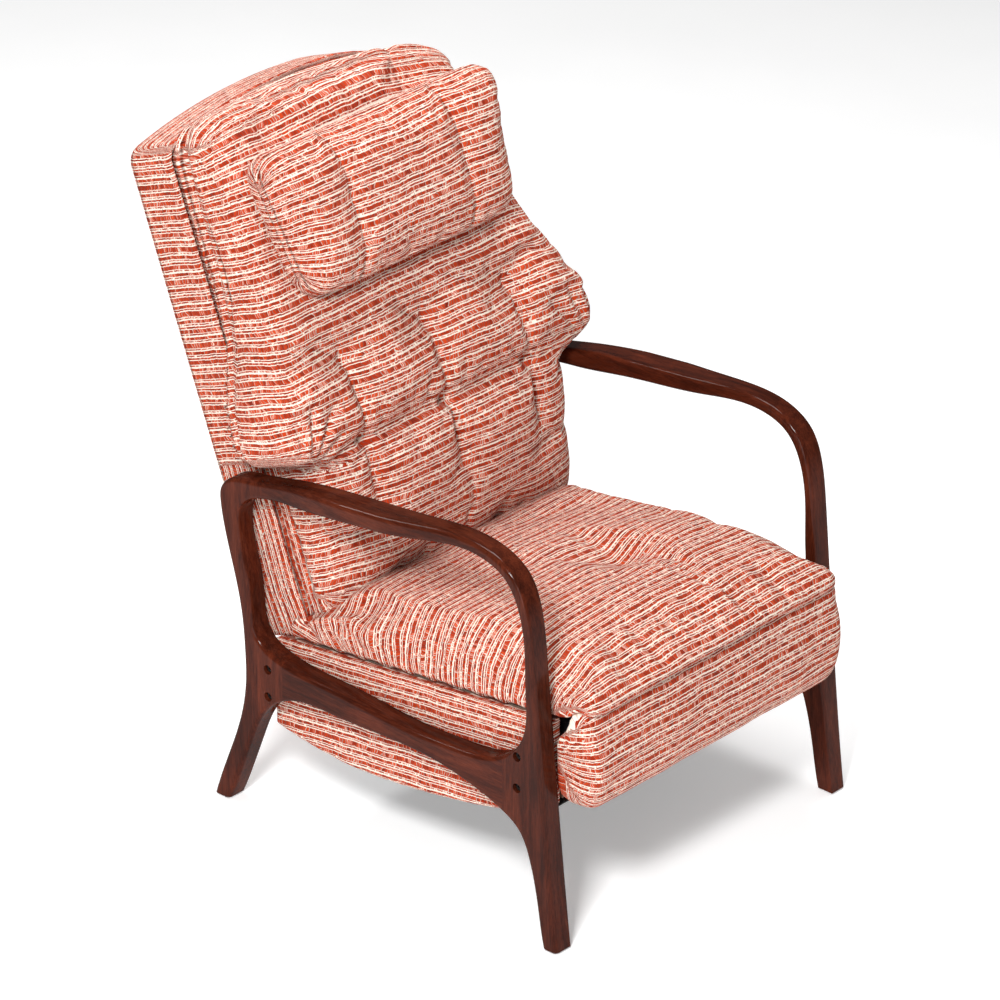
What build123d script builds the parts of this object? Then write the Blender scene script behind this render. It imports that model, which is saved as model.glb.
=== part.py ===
from build123d import *
from math import cos, radians, sin
import os

os.makedirs("parts", exist_ok=True)

# Overall wooden arm frame
frame_width = 700.0
frame_thickness = 40.0
frame_depth = 740.0
frame_height = 664.0
frame_front = -470.0
edge_round_share = 0.0053
foot_taper = 6.0
arm_bulge = 14.0
split_height_share = 0.68
taper_height_share = 0.324
glide_thickness = 3.0
glide_radius = 10.0
glide_shank_radius = 2.0
glide_shank_length = 16.0
overrun = 5.0

# Joints between the glued parts of a frame
rear_joint_share = 0.7865
front_joint_share = 0.1527
arm_rear_joint_share = 0.8378
arm_front_joint_share = 0.2
dowel_radius = 4.0
dowel_length = 36.0
dowel_spread = 10.0
rail_dowel_share = 0.4036
front_dowel_share = 0.9705
rear_dowel_share = 0.8855
dowel_play = 0.05

# Bolts that hold the frames to the seat box
bolt_radius = 4.0
bolt_play = 0.05
bolt_head_radius = 6.5
bolt_head_length = 8.0
bolt_socket_radius = 3.0
bolt_socket_depth = 4.0
recess_radius = 8.0
recess_depth = 14.0
rear_bolt_share = 0.8297
rear_bolt_low_share = 0.3389
rear_bolt_high_share = 0.4127
front_bolt_share = 0.1122
front_bolt_low_share = 0.4021
front_bolt_high_share = 0.4849
nut_radius = 8.0
nut_thickness = 5.0
bolt_reach = 11.5
cover_hole_play = 1.0

# Seat box
board_thickness = 12.0
cover_thickness = 18.0
cover_gap = 0.3
cover_round = 4.0
cover_rise = 1.5
cover_flap = 6.0
box_front = -418.0
box_rear = 168.0
keel_height = 136.0
box_front_low = 222.0
seat_tilt = 6.86
seat_datum_y = 140.0
seat_datum_z = 308.0
strap_thickness = 2.0
strap_width = 50.0
strap_count = 5
strap_pitch = 105.0
strap_first_y = -345.0
rail_thickness = 20.0
front_rail_top = 316.0
front_rail_bottom = 232.0
rear_rail_y = 96.0
rear_rail_top = 180.0
rear_rail_bottom = 146.0
base_sheet = 1.6

# Reclining back, measured from its pivot
pivot_y = 118.0
pivot_z = 285.0
back_tilt = 21.0
shell_side_gap = 14.0
shell_wall = 7.5
shell_back_wall = 13.9
shell_rear = 80.4
shell_bottom = 60.0
shell_side_top = 842.0
shell_crown = 38.0
shell_front_top = 22.0
shell_front_bottom = 29.0
shell_corner = 30.0
shell_round = 18.0
post_width = 19.0
post_depth = 42.0
post_bottom = 24.0
post_top = 804.0
frame_rail_height = 40.0
lower_rail_bottom = 156.0
back_strap_count = 7
back_strap_pitch = 95.0
soft_gap = 0.5

# Hinge hardware
plate_thickness = 5.0
pin_radius = 5.0
pin_play = 0.05
pin_head_radius = 8.5
pin_head_length = 3.0
bush_radius = 8.0
side_play = 0.7
link_play = 1.0
bracket_inset = 34.0
mech_plate_thickness = 4.0
mech_plate_front = 92.0
mech_plate_rear = 162.0
mech_plate_bottom = 211.0
mech_plate_top = 307.0
mech_plate_corner = 10.0
bracket_eye = 15.0
crank_arm = 89.0
crank_angle = 17.5
crank_eye = 11.0
bracket_foot_low = 44.0
bracket_foot_high = 150.0
screw_radius = 2.2
screw_head_radius = 4.2
screw_head_length = 2.4
screw_length = 9.0
link_half_height = 8.0
slot_sag = 3.1
slot_half = 3.8
slot_side_play = 1.2

# Footrest
rest_pivot_y = -470.0
rest_pivot_z = 385.0
rest_arm = 40.0
rest_arm_angle = 42.0
roll_radius = 20.0
lip_gap = 1.6
rest_board_rear = -424.0
rest_board_thickness = 10.0
rest_board_top = 350.0
rest_board_bottom = 240.0
rest_side_gap = 22.0
rest_front = -500.0
rest_end_front = -458.0
rest_bottom = 229.0
slot_inner_inset = 44.0
slot_outer_inset = 19.0
slot_front = -481.0
slot_bottom = 238.0
notch_bottom = 280.0
rest_eye = 9.5
rest_crank_eye = 10.0
flange_width = 25.0
flange_thickness = 3.0
flange_inset = 12.0
flange_bottom = 285.0
flange_top = 335.0
leg_front = -446.0
hinge_arm_inset = 41.0
hinge_foot_bottom = 262.0
hinge_web_bottom = 288.0
hinge_web_front = -428.0

# Seat cushion
seat_side_gap = 12.0
seat_bottom_inset = 3.0
seat_shoulder_inset = 36.0
seat_rear = 112.0
seat_section_reach = 617.0
seat_side_rise = 90.0
seat_crown = 14.0
seat_under_gap = 2.4
nose_y = -500.0
nose_corner_inset = 48.0
nose_corner_y = -440.0
lip_from_angle = 120.0
lip_to_angle = 20.0
nose_roll_depth = 45.0
nose_roll_mid = 5.0
nose_mid_drop = 24.0
nose_top_drop = 206.0
nose_crease_depth = 8.0
nose_crease_rise = 5.0
nose_heel = 12.0
nose_corner_out = 36.0
nose_corner_forward = 34.0
nose_side_setback = 8.0
roll_start_angle = 60.0
roll_end_angle = 204.0
pad_toe = 22.0
rest_board_corner = 24.0
rest_pad_corner = 50.0
rest_head_radius = 8.0
back_strap_first = 150.0
bracket_margin = 6.0

# Back cushion and head pillow
cushion_rise = 858.0
cushion_crown = 198.0
cushion_side_gap = 5.0
cushion_rim_front = 57.0
cushion_rim_rear = 32.0
cushion_rear_crown = -19.0
rear_land = 3.0
cushion_top_rear = 26.0
tuft_column = 190.0
tuft_radius = 9.0
tuft_length = 80.0
tuft_rise = 325.0
pillow_half_width = 254.0
pillow_half_height = 122.5
pillow_rise = 678.0
pillow_rim = 184.0
pillow_band = 4.0
pillow_front = 243.0
pillow_rear = 132.5

# Worked out from the sizes above
edge_round = edge_round_share * (frame_depth + frame_height)
split_height = split_height_share * frame_height
taper_height = taper_height_share * frame_height
rear_joint_y = frame_front + rear_joint_share * frame_depth
front_joint_y = frame_front + front_joint_share * frame_depth
arm_rear_joint_y = frame_front + arm_rear_joint_share * frame_depth
arm_front_joint_y = frame_front + arm_front_joint_share * frame_depth
rail_dowel_z = rail_dowel_share * frame_height
front_dowel_z = front_dowel_share * frame_height
rear_dowel_z = rear_dowel_share * frame_height
rear_bolt_y = frame_front + rear_bolt_share * frame_depth
rear_bolt_low = rear_bolt_low_share * frame_height
rear_bolt_high = rear_bolt_high_share * frame_height
front_bolt_y = frame_front + front_bolt_share * frame_depth
front_bolt_low = front_bolt_low_share * frame_height
front_bolt_high = front_bolt_high_share * frame_height
outer_face = frame_width / 2
inner_face = outer_face - frame_thickness
cover_outer = inner_face - cover_gap
seat_half_width = inner_face - seat_side_gap
seat_bottom_half_width = seat_half_width - seat_bottom_inset
seat_shoulder_x = seat_half_width - seat_shoulder_inset
board_outer = inner_face - cover_thickness
board_inner = board_outer - board_thickness
bolt_tip = board_inner - bolt_reach
shell_half_width = inner_face - shell_side_gap
cushion_half_width = outer_face - cushion_side_gap
nose_corner_x = seat_half_width - nose_corner_inset
rest_half_width = inner_face - rest_side_gap
flange_outer = rest_half_width - flange_inset
slot_inner = board_inner - slot_inner_inset
slot_outer = board_inner - slot_outer_inset
hinge_arm_inner = board_inner - hinge_arm_inset
bracket_inner = board_inner - bracket_inset
bracket_outer = bracket_inner + plate_thickness
link_inner = bracket_outer + link_play
link_outer = link_inner + plate_thickness
mech_inner = board_inner - mech_plate_thickness
u_axis = Vector(0, sin(radians(back_tilt)), cos(radians(back_tilt)))
n_axis = Vector(0, -cos(radians(back_tilt)), sin(radians(back_tilt)))
pivot = Vector(0, pivot_y, pivot_z)
rest_pivot = Vector(0, rest_pivot_y, rest_pivot_z)
crank_y = pivot_y + crank_arm * sin(radians(crank_angle))
crank_z = pivot_z - crank_arm * cos(radians(crank_angle))
rest_crank_y = rest_pivot_y + rest_arm * sin(radians(rest_arm_angle))
rest_crank_z = rest_pivot_z - rest_arm * cos(radians(rest_arm_angle))


def frame_spot(depth_share, height_share):
    return (frame_front + depth_share * frame_depth, height_share * frame_height)


def frame_spots(shares):
    return [frame_spot(a, b) for a, b in shares]


def seat_line(y):
    return seat_datum_z + (seat_datum_y - y) * sin(radians(seat_tilt)) / cos(radians(seat_tilt))


def back_spot(rise, forward):
    spot = pivot + u_axis * rise + n_axis * forward
    return (spot.Y, spot.Z)


def across_back(rise):
    return Plane(origin=pivot + u_axis * rise, x_dir=(1, 0, 0), z_dir=u_axis)


def facing_back(forward):
    return Plane(origin=pivot + n_axis * forward, x_dir=(1, 0, 0), z_dir=n_axis)


def beside_back(x):
    return Plane(origin=pivot + Vector(x, 0, 0), x_dir=n_axis * -1, z_dir=(1, 0, 0))


def export(solid, label):
    solid.label = label
    export_step(solid, "parts/" + label + ".step")


def block(x_low, x_high, y_low, y_high, z_low, z_high, mode=Mode.ADD):
    with Locations(((x_low + x_high) / 2, (y_low + y_high) / 2, (z_low + z_high) / 2)):
        Box(x_high - x_low, y_high - y_low, z_high - z_low, mode=mode)


def cross_bar(x_from, x_to, y, z, radius, mode=Mode.ADD):
    with Locations(Location(((x_from + x_to) / 2, y, z), (0, 90, 0))):
        Cylinder(radius, abs(x_to - x_from), mode=mode)


def deep_bar(y_from, y_to, x, z, radius, mode=Mode.ADD):
    with Locations(Location((x, (y_from + y_to) / 2, z), (90, 0, 0))):
        Cylinder(radius, abs(y_to - y_from), mode=mode)


def back_block(x_low, x_high, rise_low, rise_high, forward_low, forward_high, mode=Mode.ADD):
    spot = pivot + u_axis * ((rise_low + rise_high) / 2) + n_axis * ((forward_low + forward_high) / 2)
    spot = spot + Vector((x_low + x_high) / 2, 0, 0)
    with Locations(Plane(origin=spot, x_dir=(1, 0, 0), z_dir=u_axis)):
        Box(x_high - x_low, forward_high - forward_low, rise_high - rise_low, mode=mode)


def export_pair(solid, label):
    export(solid, "right_" + label)
    export(mirror(solid, about=Plane.YZ), "left_" + label)


# Shares of the arm frame's depth and height
front_edge_shares = [(0.0, 0.0), (0.0135, 0.114), (0.034, 0.321), (0.061, 0.627), (0.073, 0.765)]
bend_shares = [(0.088, 0.868), (0.118, 0.938), (0.176, 0.979), (0.245, 0.993)]
arm_top_shares = [(0.400, 0.979), (0.600, 0.954), (0.780, 0.923), (0.872, 0.901)]
rear_corner_shares = [(0.935, 0.883), (0.965, 0.846), (0.966, 0.810)]
rear_edge_shares = [(0.938, 0.672), (0.910, 0.540), (0.902, 0.440), (0.901, 0.360)]
rear_leg_shares = [(0.918, 0.250), (0.948, 0.155), (1.0, 0.0)]
rear_foot_share = 0.957
front_foot_share = 0.039
rear_inner_shares = [(0.926, 0.080), (0.886, 0.195), (0.836, 0.300), (0.762, 0.353)]
arch_shares = [(0.640, 0.366), (0.480, 0.373), (0.345, 0.371), (0.240, 0.350)]
front_inner_shares = [(0.160, 0.322), (0.112, 0.290), (0.080, 0.220), (0.059, 0.120)]
hole_front_shares = [(0.093, 0.640), (0.096, 0.739), (0.111, 0.855), (0.150, 0.929), (0.223, 0.960)]
hole_top_shares = [(0.400, 0.939), (0.610, 0.906), (0.740, 0.882), (0.840, 0.864)]
hole_rear_shares = [(0.902, 0.822), (0.911, 0.745), (0.884, 0.610), (0.858, 0.480)]
hole_rail_shares = [(0.790, 0.447), (0.640, 0.436), (0.420, 0.424), (0.280, 0.432), (0.170, 0.458), (0.105, 0.530)]

# One closed arm frame on the right, cut later into its glued parts
with BuildPart() as frame_blank:
    with BuildSketch(Plane.YZ.offset(inner_face)):
        with BuildLine():
            outer_line = frame_spots(front_edge_shares + bend_shares + arm_top_shares)
            outer_line += frame_spots(rear_corner_shares + rear_edge_shares + rear_leg_shares)
            inner_line = frame_spots(rear_inner_shares + arch_shares + front_inner_shares)
            front_heel = frame_spot(front_foot_share, 0)
            rear_heel = frame_spot(rear_foot_share, 0)
            Spline(*outer_line)
            Line(outer_line[-1], rear_heel)
            Spline(rear_heel, *inner_line, front_heel)
            Line(front_heel, outer_line[0])
        make_face()
    extrude(amount=frame_thickness + arm_bulge)
    with BuildSketch(Plane.YZ.offset(inner_face)):
        with BuildLine():
            hole_line = frame_spots(hole_front_shares + hole_top_shares)
            hole_line += frame_spots(hole_rear_shares + hole_rail_shares)
            Spline(*hole_line, periodic=True)
        make_face()
    extrude(amount=frame_thickness + arm_bulge, mode=Mode.SUBTRACT)

with BuildPart() as whole_frame:
    add(frame_blank.part)
    split(bisect_by=Plane.YZ.offset(outer_face), keep=Keep.BOTTOM)
    frame_edges = whole_frame.edges().filter_by(lambda e: e.length > 2 * frame_thickness)
    fillet(frame_edges.filter_by(lambda e: e.bounding_box().size.X < edge_round), edge_round)
    with BuildSketch(Plane.XZ.offset(-frame_depth)):
        with BuildLine():
            Polyline(
                (inner_face - overrun, 0),
                (inner_face + foot_taper, 0),
                (inner_face, taper_height),
                (inner_face - overrun, taper_height),
                (inner_face - overrun, 0),
            )
        make_face()
    extrude(amount=2 * frame_depth, mode=Mode.SUBTRACT)

frame_low = glide_thickness
frame_high = frame_height + frame_thickness
far_front = frame_front - overrun
far_rear = frame_front + frame_depth + overrun
front_region = [
    (far_front, frame_low),
    (front_joint_y, frame_low),
    (front_joint_y, split_height),
    (arm_front_joint_y, split_height),
    (arm_front_joint_y, frame_high),
    (far_front, frame_high),
]
rear_region = [
    (far_rear, frame_low),
    (rear_joint_y, frame_low),
    (rear_joint_y, split_height),
    (arm_rear_joint_y, split_height),
    (arm_rear_joint_y, frame_high),
    (far_rear, frame_high),
]
rail_region = [
    (front_joint_y, frame_low),
    (rear_joint_y, frame_low),
    (rear_joint_y, split_height),
    (front_joint_y, split_height),
]
arm_region = [
    (arm_front_joint_y, split_height),
    (arm_rear_joint_y, split_height),
    (arm_rear_joint_y, frame_high),
    (arm_front_joint_y, frame_high),
]
bolt_spots = [
    (front_bolt_y, front_bolt_low),
    (front_bolt_y, front_bolt_high),
    (rear_bolt_y, rear_bolt_low),
    (rear_bolt_y, rear_bolt_high),
]
dowel_spots = [
    (rear_joint_y, rail_dowel_z - dowel_spread),
    (rear_joint_y, rail_dowel_z + dowel_spread),
    (front_joint_y, rail_dowel_z - dowel_spread),
    (front_joint_y, rail_dowel_z + dowel_spread),
    (arm_front_joint_y, front_dowel_z),
    (arm_rear_joint_y, rear_dowel_z),
]
frame_mid = inner_face + frame_thickness / 2


glide_x = (inner_face + foot_taper + outer_face) / 2
foot_spots = [
    (glide_x, frame_front + front_foot_share * frame_depth / 2),
    (glide_x, frame_front + (1 + rear_foot_share) * frame_depth / 2),
]
with BuildPart() as frame_bores:
    for y, z in bolt_spots:
        cross_bar(inner_face - overrun, outer_face + overrun, y, z, bolt_radius + bolt_play)
        cross_bar(outer_face - recess_depth, outer_face + overrun, y, z, recess_radius)
    for y, z in dowel_spots:
        deep_bar(y - dowel_length / 2, y + dowel_length / 2, frame_mid, z, dowel_radius + dowel_play)
    for x, y in foot_spots:
        with Locations((x, y, glide_shank_length / 2)):
            Cylinder(glide_shank_radius + bolt_play, glide_shank_length)


def frame_piece(region, label):
    with BuildPart() as right_piece:
        add(whole_frame.part)
        with BuildSketch(Plane.YZ.offset(inner_face - overrun)):
            Polygon(*region, align=None)
        extrude(amount=frame_thickness + 2 * overrun, mode=Mode.INTERSECT)
        add(frame_bores.part, mode=Mode.SUBTRACT)
    export_pair(right_piece.part, label)


frame_piece(front_region, "front_leg")
frame_piece(rear_region, "rear_leg")
frame_piece(rail_region, "side_rail")

# Shares of the armrest's length, for its bulge seen from above
bulge_shares = [(0.0, 0.0), (0.16, 0.08), (0.42, 0.95), (0.62, 1.0), (0.84, 0.30), (1.0, 0.0)]
arm_length = arm_rear_joint_y - arm_front_joint_y

with BuildPart() as right_armrest:
    add(frame_blank.part)
    with BuildSketch(Plane.YZ.offset(inner_face - overrun)):
        Polygon(*arm_region, align=None)
    extrude(amount=2 * frame_thickness, mode=Mode.INTERSECT)
    with BuildSketch(Plane.XY.offset(split_height)):
        with BuildLine():
            arm_start = (inner_face, arm_front_joint_y)
            arm_end = (inner_face, arm_rear_joint_y)
            bulge_line = [
                (outer_face + b * arm_bulge, arm_front_joint_y + a * arm_length) for a, b in bulge_shares
            ]
            Line(arm_start, bulge_line[0])
            Spline(*bulge_line, tangents=[(0, 1), (0, 1)])
            Line(bulge_line[-1], arm_end)
            Line(arm_end, arm_start)
        make_face()
    extrude(amount=frame_high - split_height, mode=Mode.INTERSECT)
    arm_edges = right_armrest.edges().filter_by(lambda e: e.length > 2 * frame_thickness)
    fillet(arm_edges, edge_round)
    add(frame_bores.part, mode=Mode.SUBTRACT)
export_pair(right_armrest.part, "armrest")


# Seat box of two shaped boards, padded side covers and two cross rails
# Shares of the box length and keel rise, from the rear forward
keel_shares = [(0.0, 0.19), (0.181, 0.023), (0.287, 0.0), (0.428, 0.07)]
keel_shares += [(0.638, 0.279), (0.8, 0.523), (1.0, 1.0)]
box_length = box_rear - box_front
keel_rise = box_front_low - keel_height


def keel_line(drop):
    return [(box_rear - a * box_length, keel_height + b * keel_rise - drop) for a, b in keel_shares]


def box_sides(drop, top_drop):
    keel = keel_line(drop)
    Spline(*keel)
    Polyline(
        keel[-1],
        (box_front, seat_line(box_front) - top_drop),
        (box_rear, seat_line(box_rear) - top_drop),
        keel[0],
    )


front_rail_y = box_front + cover_flap + 2 * dowel_radius
rear_rail_mid = rear_rail_y + rail_thickness / 2
box_dowel_spots = [
    (front_rail_y, front_rail_bottom + rail_thickness),
    (front_rail_y, front_rail_top - rail_thickness),
    (rear_rail_mid, rear_rail_bottom + 2 * dowel_radius),
    (rear_rail_mid, rear_rail_top - 2 * dowel_radius),
]
dowel_start = board_outer - dowel_length
mech_screw_spots = [
    (mech_plate_front + mech_plate_corner, mech_plate_top - mech_plate_corner),
    (mech_plate_front + mech_plate_corner, mech_plate_bottom + mech_plate_corner),
]

with BuildPart() as right_seat_board:
    with BuildSketch(Plane.YZ.offset(board_inner)):
        with BuildLine():
            box_sides(0, 0)
        make_face()
    extrude(amount=board_thickness)
    board_front = box_front + cover_flap
    block(
        board_inner, board_outer, box_front - overrun, board_front, 0, frame_height, Mode.SUBTRACT
    )
    for y, z in bolt_spots:
        cross_bar(board_inner - overrun, cover_outer, y, z, bolt_radius + bolt_play, Mode.SUBTRACT)
    for y, z in box_dowel_spots:
        cross_bar(dowel_start, board_outer + overrun, y, z, dowel_radius + dowel_play, Mode.SUBTRACT)
    for y, z in mech_screw_spots:
        screw_end = mech_inner + screw_length
        cross_bar(mech_inner, screw_end, y, z, screw_radius + pin_play, Mode.SUBTRACT)
export_pair(right_seat_board.part, "seat_board")

with BuildPart() as right_side_cover:
    with BuildSketch(Plane.YZ.offset(board_outer)):
        with BuildLine():
            box_sides(base_sheet, -cover_rise)
        make_face()
    extrude(amount=cover_outer - board_outer)
    cover_face = right_side_cover.faces().sort_by(Axis.X)[-1]
    fillet(cover_face.edges(), cover_round)
    for y, z in bolt_spots:
        cross_bar(board_inner, outer_face, y, z, bolt_radius + cover_hole_play, Mode.SUBTRACT)
    flap_end = box_front + cover_flap - soft_gap
    block(board_inner + soft_gap, board_outer, box_front, flap_end, box_front_low, seat_line(box_front))
export_pair(right_side_cover.part, "side_cover")

hinge_foot_inner = hinge_arm_inner - flange_width
hinge_screw_x = hinge_foot_inner + screw_length
hinge_screw_spots = [
    (hinge_screw_x, hinge_foot_bottom + screw_length),
    (hinge_screw_x, front_rail_top - screw_length),
]
hinge_face_y = box_front - flange_thickness

with BuildPart() as front_rail:
    block(-board_inner, board_inner, box_front, box_front + rail_thickness, front_rail_bottom, front_rail_top)
    for side in (-1, 1):
        for y, z in box_dowel_spots[:2]:
            cross_bar(side * dowel_start, side * outer_face, y, z, dowel_radius + dowel_play, Mode.SUBTRACT)
        for x, z in hinge_screw_spots:
            screw_end = hinge_face_y + screw_length
            deep_bar(hinge_face_y, screw_end, side * x, z, screw_radius + pin_play, Mode.SUBTRACT)
export(front_rail.part, "front_rail")

with BuildPart() as rear_rail:
    rail_end_y = rear_rail_y + rail_thickness
    block(-board_inner, board_inner, rear_rail_y, rail_end_y, rear_rail_bottom, rear_rail_top)
    for side in (-1, 1):
        for y, z in box_dowel_spots[2:]:
            cross_bar(side * dowel_start, side * outer_face, y, z, dowel_radius + dowel_play, Mode.SUBTRACT)
export(rear_rail.part, "rear_rail")

# Dowels in the glued joints of the frames and the box
with BuildPart() as joint_dowels:
    for side in (-1, 1):
        for y, z in dowel_spots:
            deep_bar(y - dowel_length / 2, y + dowel_length / 2, side * frame_mid, z, dowel_radius)
        for y, z in box_dowel_spots:
            cross_bar(side * dowel_start, side * board_outer, y, z, dowel_radius)
export(joint_dowels.part, "joint_dowels")

# Plastic glides nailed under the four feet
with BuildPart() as foot_glides:
    for side in (-1, 1):
        for x, y in foot_spots:
            with Locations((side * x, y, 0)):
                Cylinder(glide_radius, glide_thickness, align=(Align.CENTER, Align.CENTER, Align.MIN))
                Cylinder(
                    glide_shank_radius,
                    glide_shank_length,
                    align=(Align.CENTER, Align.CENTER, Align.MIN),
                )
export(foot_glides.part, "foot_glides")

# Webbing straps across the box
with BuildPart() as seat_straps:
    for count in range(strap_count):
        y = strap_first_y + count * strap_pitch
        spot = (0, y, seat_line(y) + strap_thickness / 2 + pin_play)
        with Locations(Location(spot, (-seat_tilt, 0, 0))):
            Box(2 * board_outer, strap_width, strap_thickness)
export(seat_straps.part, "seat_straps")

# Cloth cover stretched under the box
with BuildPart() as bottom_cover:
    with BuildSketch(Plane.YZ):
        with BuildLine():
            upper_line = keel_line(0)
            lower_line = keel_line(base_sheet)
            Spline(*upper_line)
            Line(upper_line[-1], lower_line[-1])
            Spline(*lower_line)
            Line(lower_line[0], upper_line[0])
        make_face()
    extrude(amount=board_outer, both=True)
export(bottom_cover.part, "bottom_cover")

# Bolts through the frames, with their nuts inside the box
bolt_head_x = outer_face - recess_depth
with BuildPart() as frame_bolts:
    for side in (-1, 1):
        for y, z in bolt_spots:
            cross_bar(side * bolt_tip, side * bolt_head_x, y, z, bolt_radius)
            head_end = bolt_head_x + bolt_head_length
            cross_bar(side * bolt_head_x, side * head_end, y, z, bolt_head_radius)
            socket_start = head_end - bolt_socket_depth
            cross_bar(side * socket_start, side * head_end, y, z, bolt_socket_radius, Mode.SUBTRACT)
export(frame_bolts.part, "frame_bolts")

with BuildPart() as bolt_nuts:
    for side in (-1, 1):
        for y, z in bolt_spots:
            nut_face = mech_inner if y == rear_bolt_y else board_inner
            with BuildSketch(Plane.YZ.offset(side * nut_face)):
                with Locations((y, z)):
                    RegularPolygon(nut_radius, 6)
                    Circle(bolt_radius + bolt_play, mode=Mode.SUBTRACT)
            extrude(amount=-side * nut_thickness)
export(bolt_nuts.part, "bolt_nuts")

# Mechanism plates that carry the back, screwed and bolted to the boards
with BuildPart() as right_mech_plate:
    with BuildSketch(Plane.YZ.offset(mech_inner)):
        plate_mid_y = (mech_plate_front + mech_plate_rear) / 2
        plate_mid_z = (mech_plate_bottom + mech_plate_top) / 2
        with Locations((plate_mid_y, plate_mid_z)):
            plate_length = mech_plate_rear - mech_plate_front
            plate_height = mech_plate_top - mech_plate_bottom
            RectangleRounded(plate_length, plate_height, mech_plate_corner)
        with Locations((pivot_y, pivot_z)):
            Circle(pin_radius + pin_play, mode=Mode.SUBTRACT)
        with Locations((rear_bolt_y, rear_bolt_low), (rear_bolt_y, rear_bolt_high)):
            Circle(bolt_radius + bolt_play, mode=Mode.SUBTRACT)
        with Locations(*mech_screw_spots):
            Circle(screw_radius + pin_play, mode=Mode.SUBTRACT)
    extrude(amount=mech_plate_thickness)
export_pair(right_mech_plate.part, "mech_plate")

# Pins on which the back turns, with spacer bushes
bracket_face = bracket_outer + side_play
with BuildPart() as back_pivot_pins:
    for side in (-1, 1):
        head_from = bracket_inner - side_play
        cross_bar(side * head_from, side * board_inner, pivot_y, pivot_z, pin_radius)
        head_to = head_from - pin_head_length
        cross_bar(side * head_to, side * head_from, pivot_y, pivot_z, pin_head_radius)
export(back_pivot_pins.part, "back_pivot_pins")

with BuildPart() as pivot_bushes:
    for side in (-1, 1):
        cross_bar(side * bracket_face, side * mech_inner, pivot_y, pivot_z, bush_radius)
        bore = pin_radius + pin_play
        cross_bar(side * bracket_face, side * mech_inner, pivot_y, pivot_z, bore, Mode.SUBTRACT)
export(pivot_bushes.part, "pivot_bushes")

# Fixed hinge arms for the footrest, screwed to the front rail
hinge_arm_outer = hinge_arm_inner + plate_thickness
with BuildPart() as right_hinge_arm:
    with BuildSketch(Plane.YZ.offset(hinge_arm_inner)):
        with Locations((rest_pivot_y, rest_pivot_z)):
            Circle(rest_eye)
        with Locations(((hinge_web_front + box_front) / 2, (hinge_web_bottom + front_rail_top) / 2)):
            Rectangle(box_front - hinge_web_front, front_rail_top - hinge_web_bottom)
        make_hull()
        with Locations((rest_pivot_y, rest_pivot_z)):
            Circle(pin_radius + pin_play, mode=Mode.SUBTRACT)
    extrude(amount=plate_thickness)
    block(
        hinge_foot_inner, hinge_arm_outer, hinge_face_y, box_front, hinge_foot_bottom, front_rail_top
    )
    for x, z in hinge_screw_spots:
        deep_bar(hinge_face_y, box_front, x, z, screw_radius + pin_play, Mode.SUBTRACT)
export_pair(right_hinge_arm.part, "hinge_arm")

with BuildPart() as base_screws:
    for side in (-1, 1):
        for x, z in hinge_screw_spots:
            deep_bar(hinge_face_y, hinge_face_y + screw_length, side * x, z, screw_radius)
            head_y = hinge_face_y - screw_head_length
            deep_bar(head_y, hinge_face_y, side * x, z, screw_head_radius)
        for y, z in mech_screw_spots:
            cross_bar(side * mech_inner, side * (mech_inner + screw_length), y, z, screw_radius)
            head_x = mech_inner - screw_head_length
            cross_bar(side * head_x, side * mech_inner, y, z, screw_head_radius)
export(base_screws.part, "base_screws")

# Pins on which the footrest turns
with BuildPart() as footrest_pivot_pins:
    for side in (-1, 1):
        head_to = hinge_arm_inner - screw_head_length
        pin_end = bracket_outer + side_play
        cross_bar(side * hinge_arm_inner, side * pin_end, rest_pivot_y, rest_pivot_z, pin_radius)
        cross_bar(side * head_to, side * hinge_arm_inner, rest_pivot_y, rest_pivot_z, rest_head_radius)
export(footrest_pivot_pins.part, "footrest_pivot_pins")

# Seat cushion lofted from front to rear, its nose rolled over the footrest hinge
# Shares of the section reach, side rise and crown, from the rear forward
seat_shares = [(0.0, 0.425, 0.43), (0.081, 0.558, 0.43), (0.11, 0.712, 0.57), (0.233, 0.843, 0.86)]
seat_shares += [(0.373, 0.895, 1.0), (0.509, 0.961, 1.0), (0.645, 0.959, 0.93)]
seat_shares += [(0.78, 0.915, 0.71), (0.88, 0.777, 0.57), (1.0, 0.533, 0.43)]
# Shares of the sides at which the shoulder starts and bulges
shoulder_start_share = 0.45
shoulder_out_share = 0.74
shoulder_up_share = 0.72


def lip_spot(angle, radius):
    return (rest_pivot_y + radius * cos(radians(angle)), rest_pivot_z + radius * sin(radians(angle)))


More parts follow.
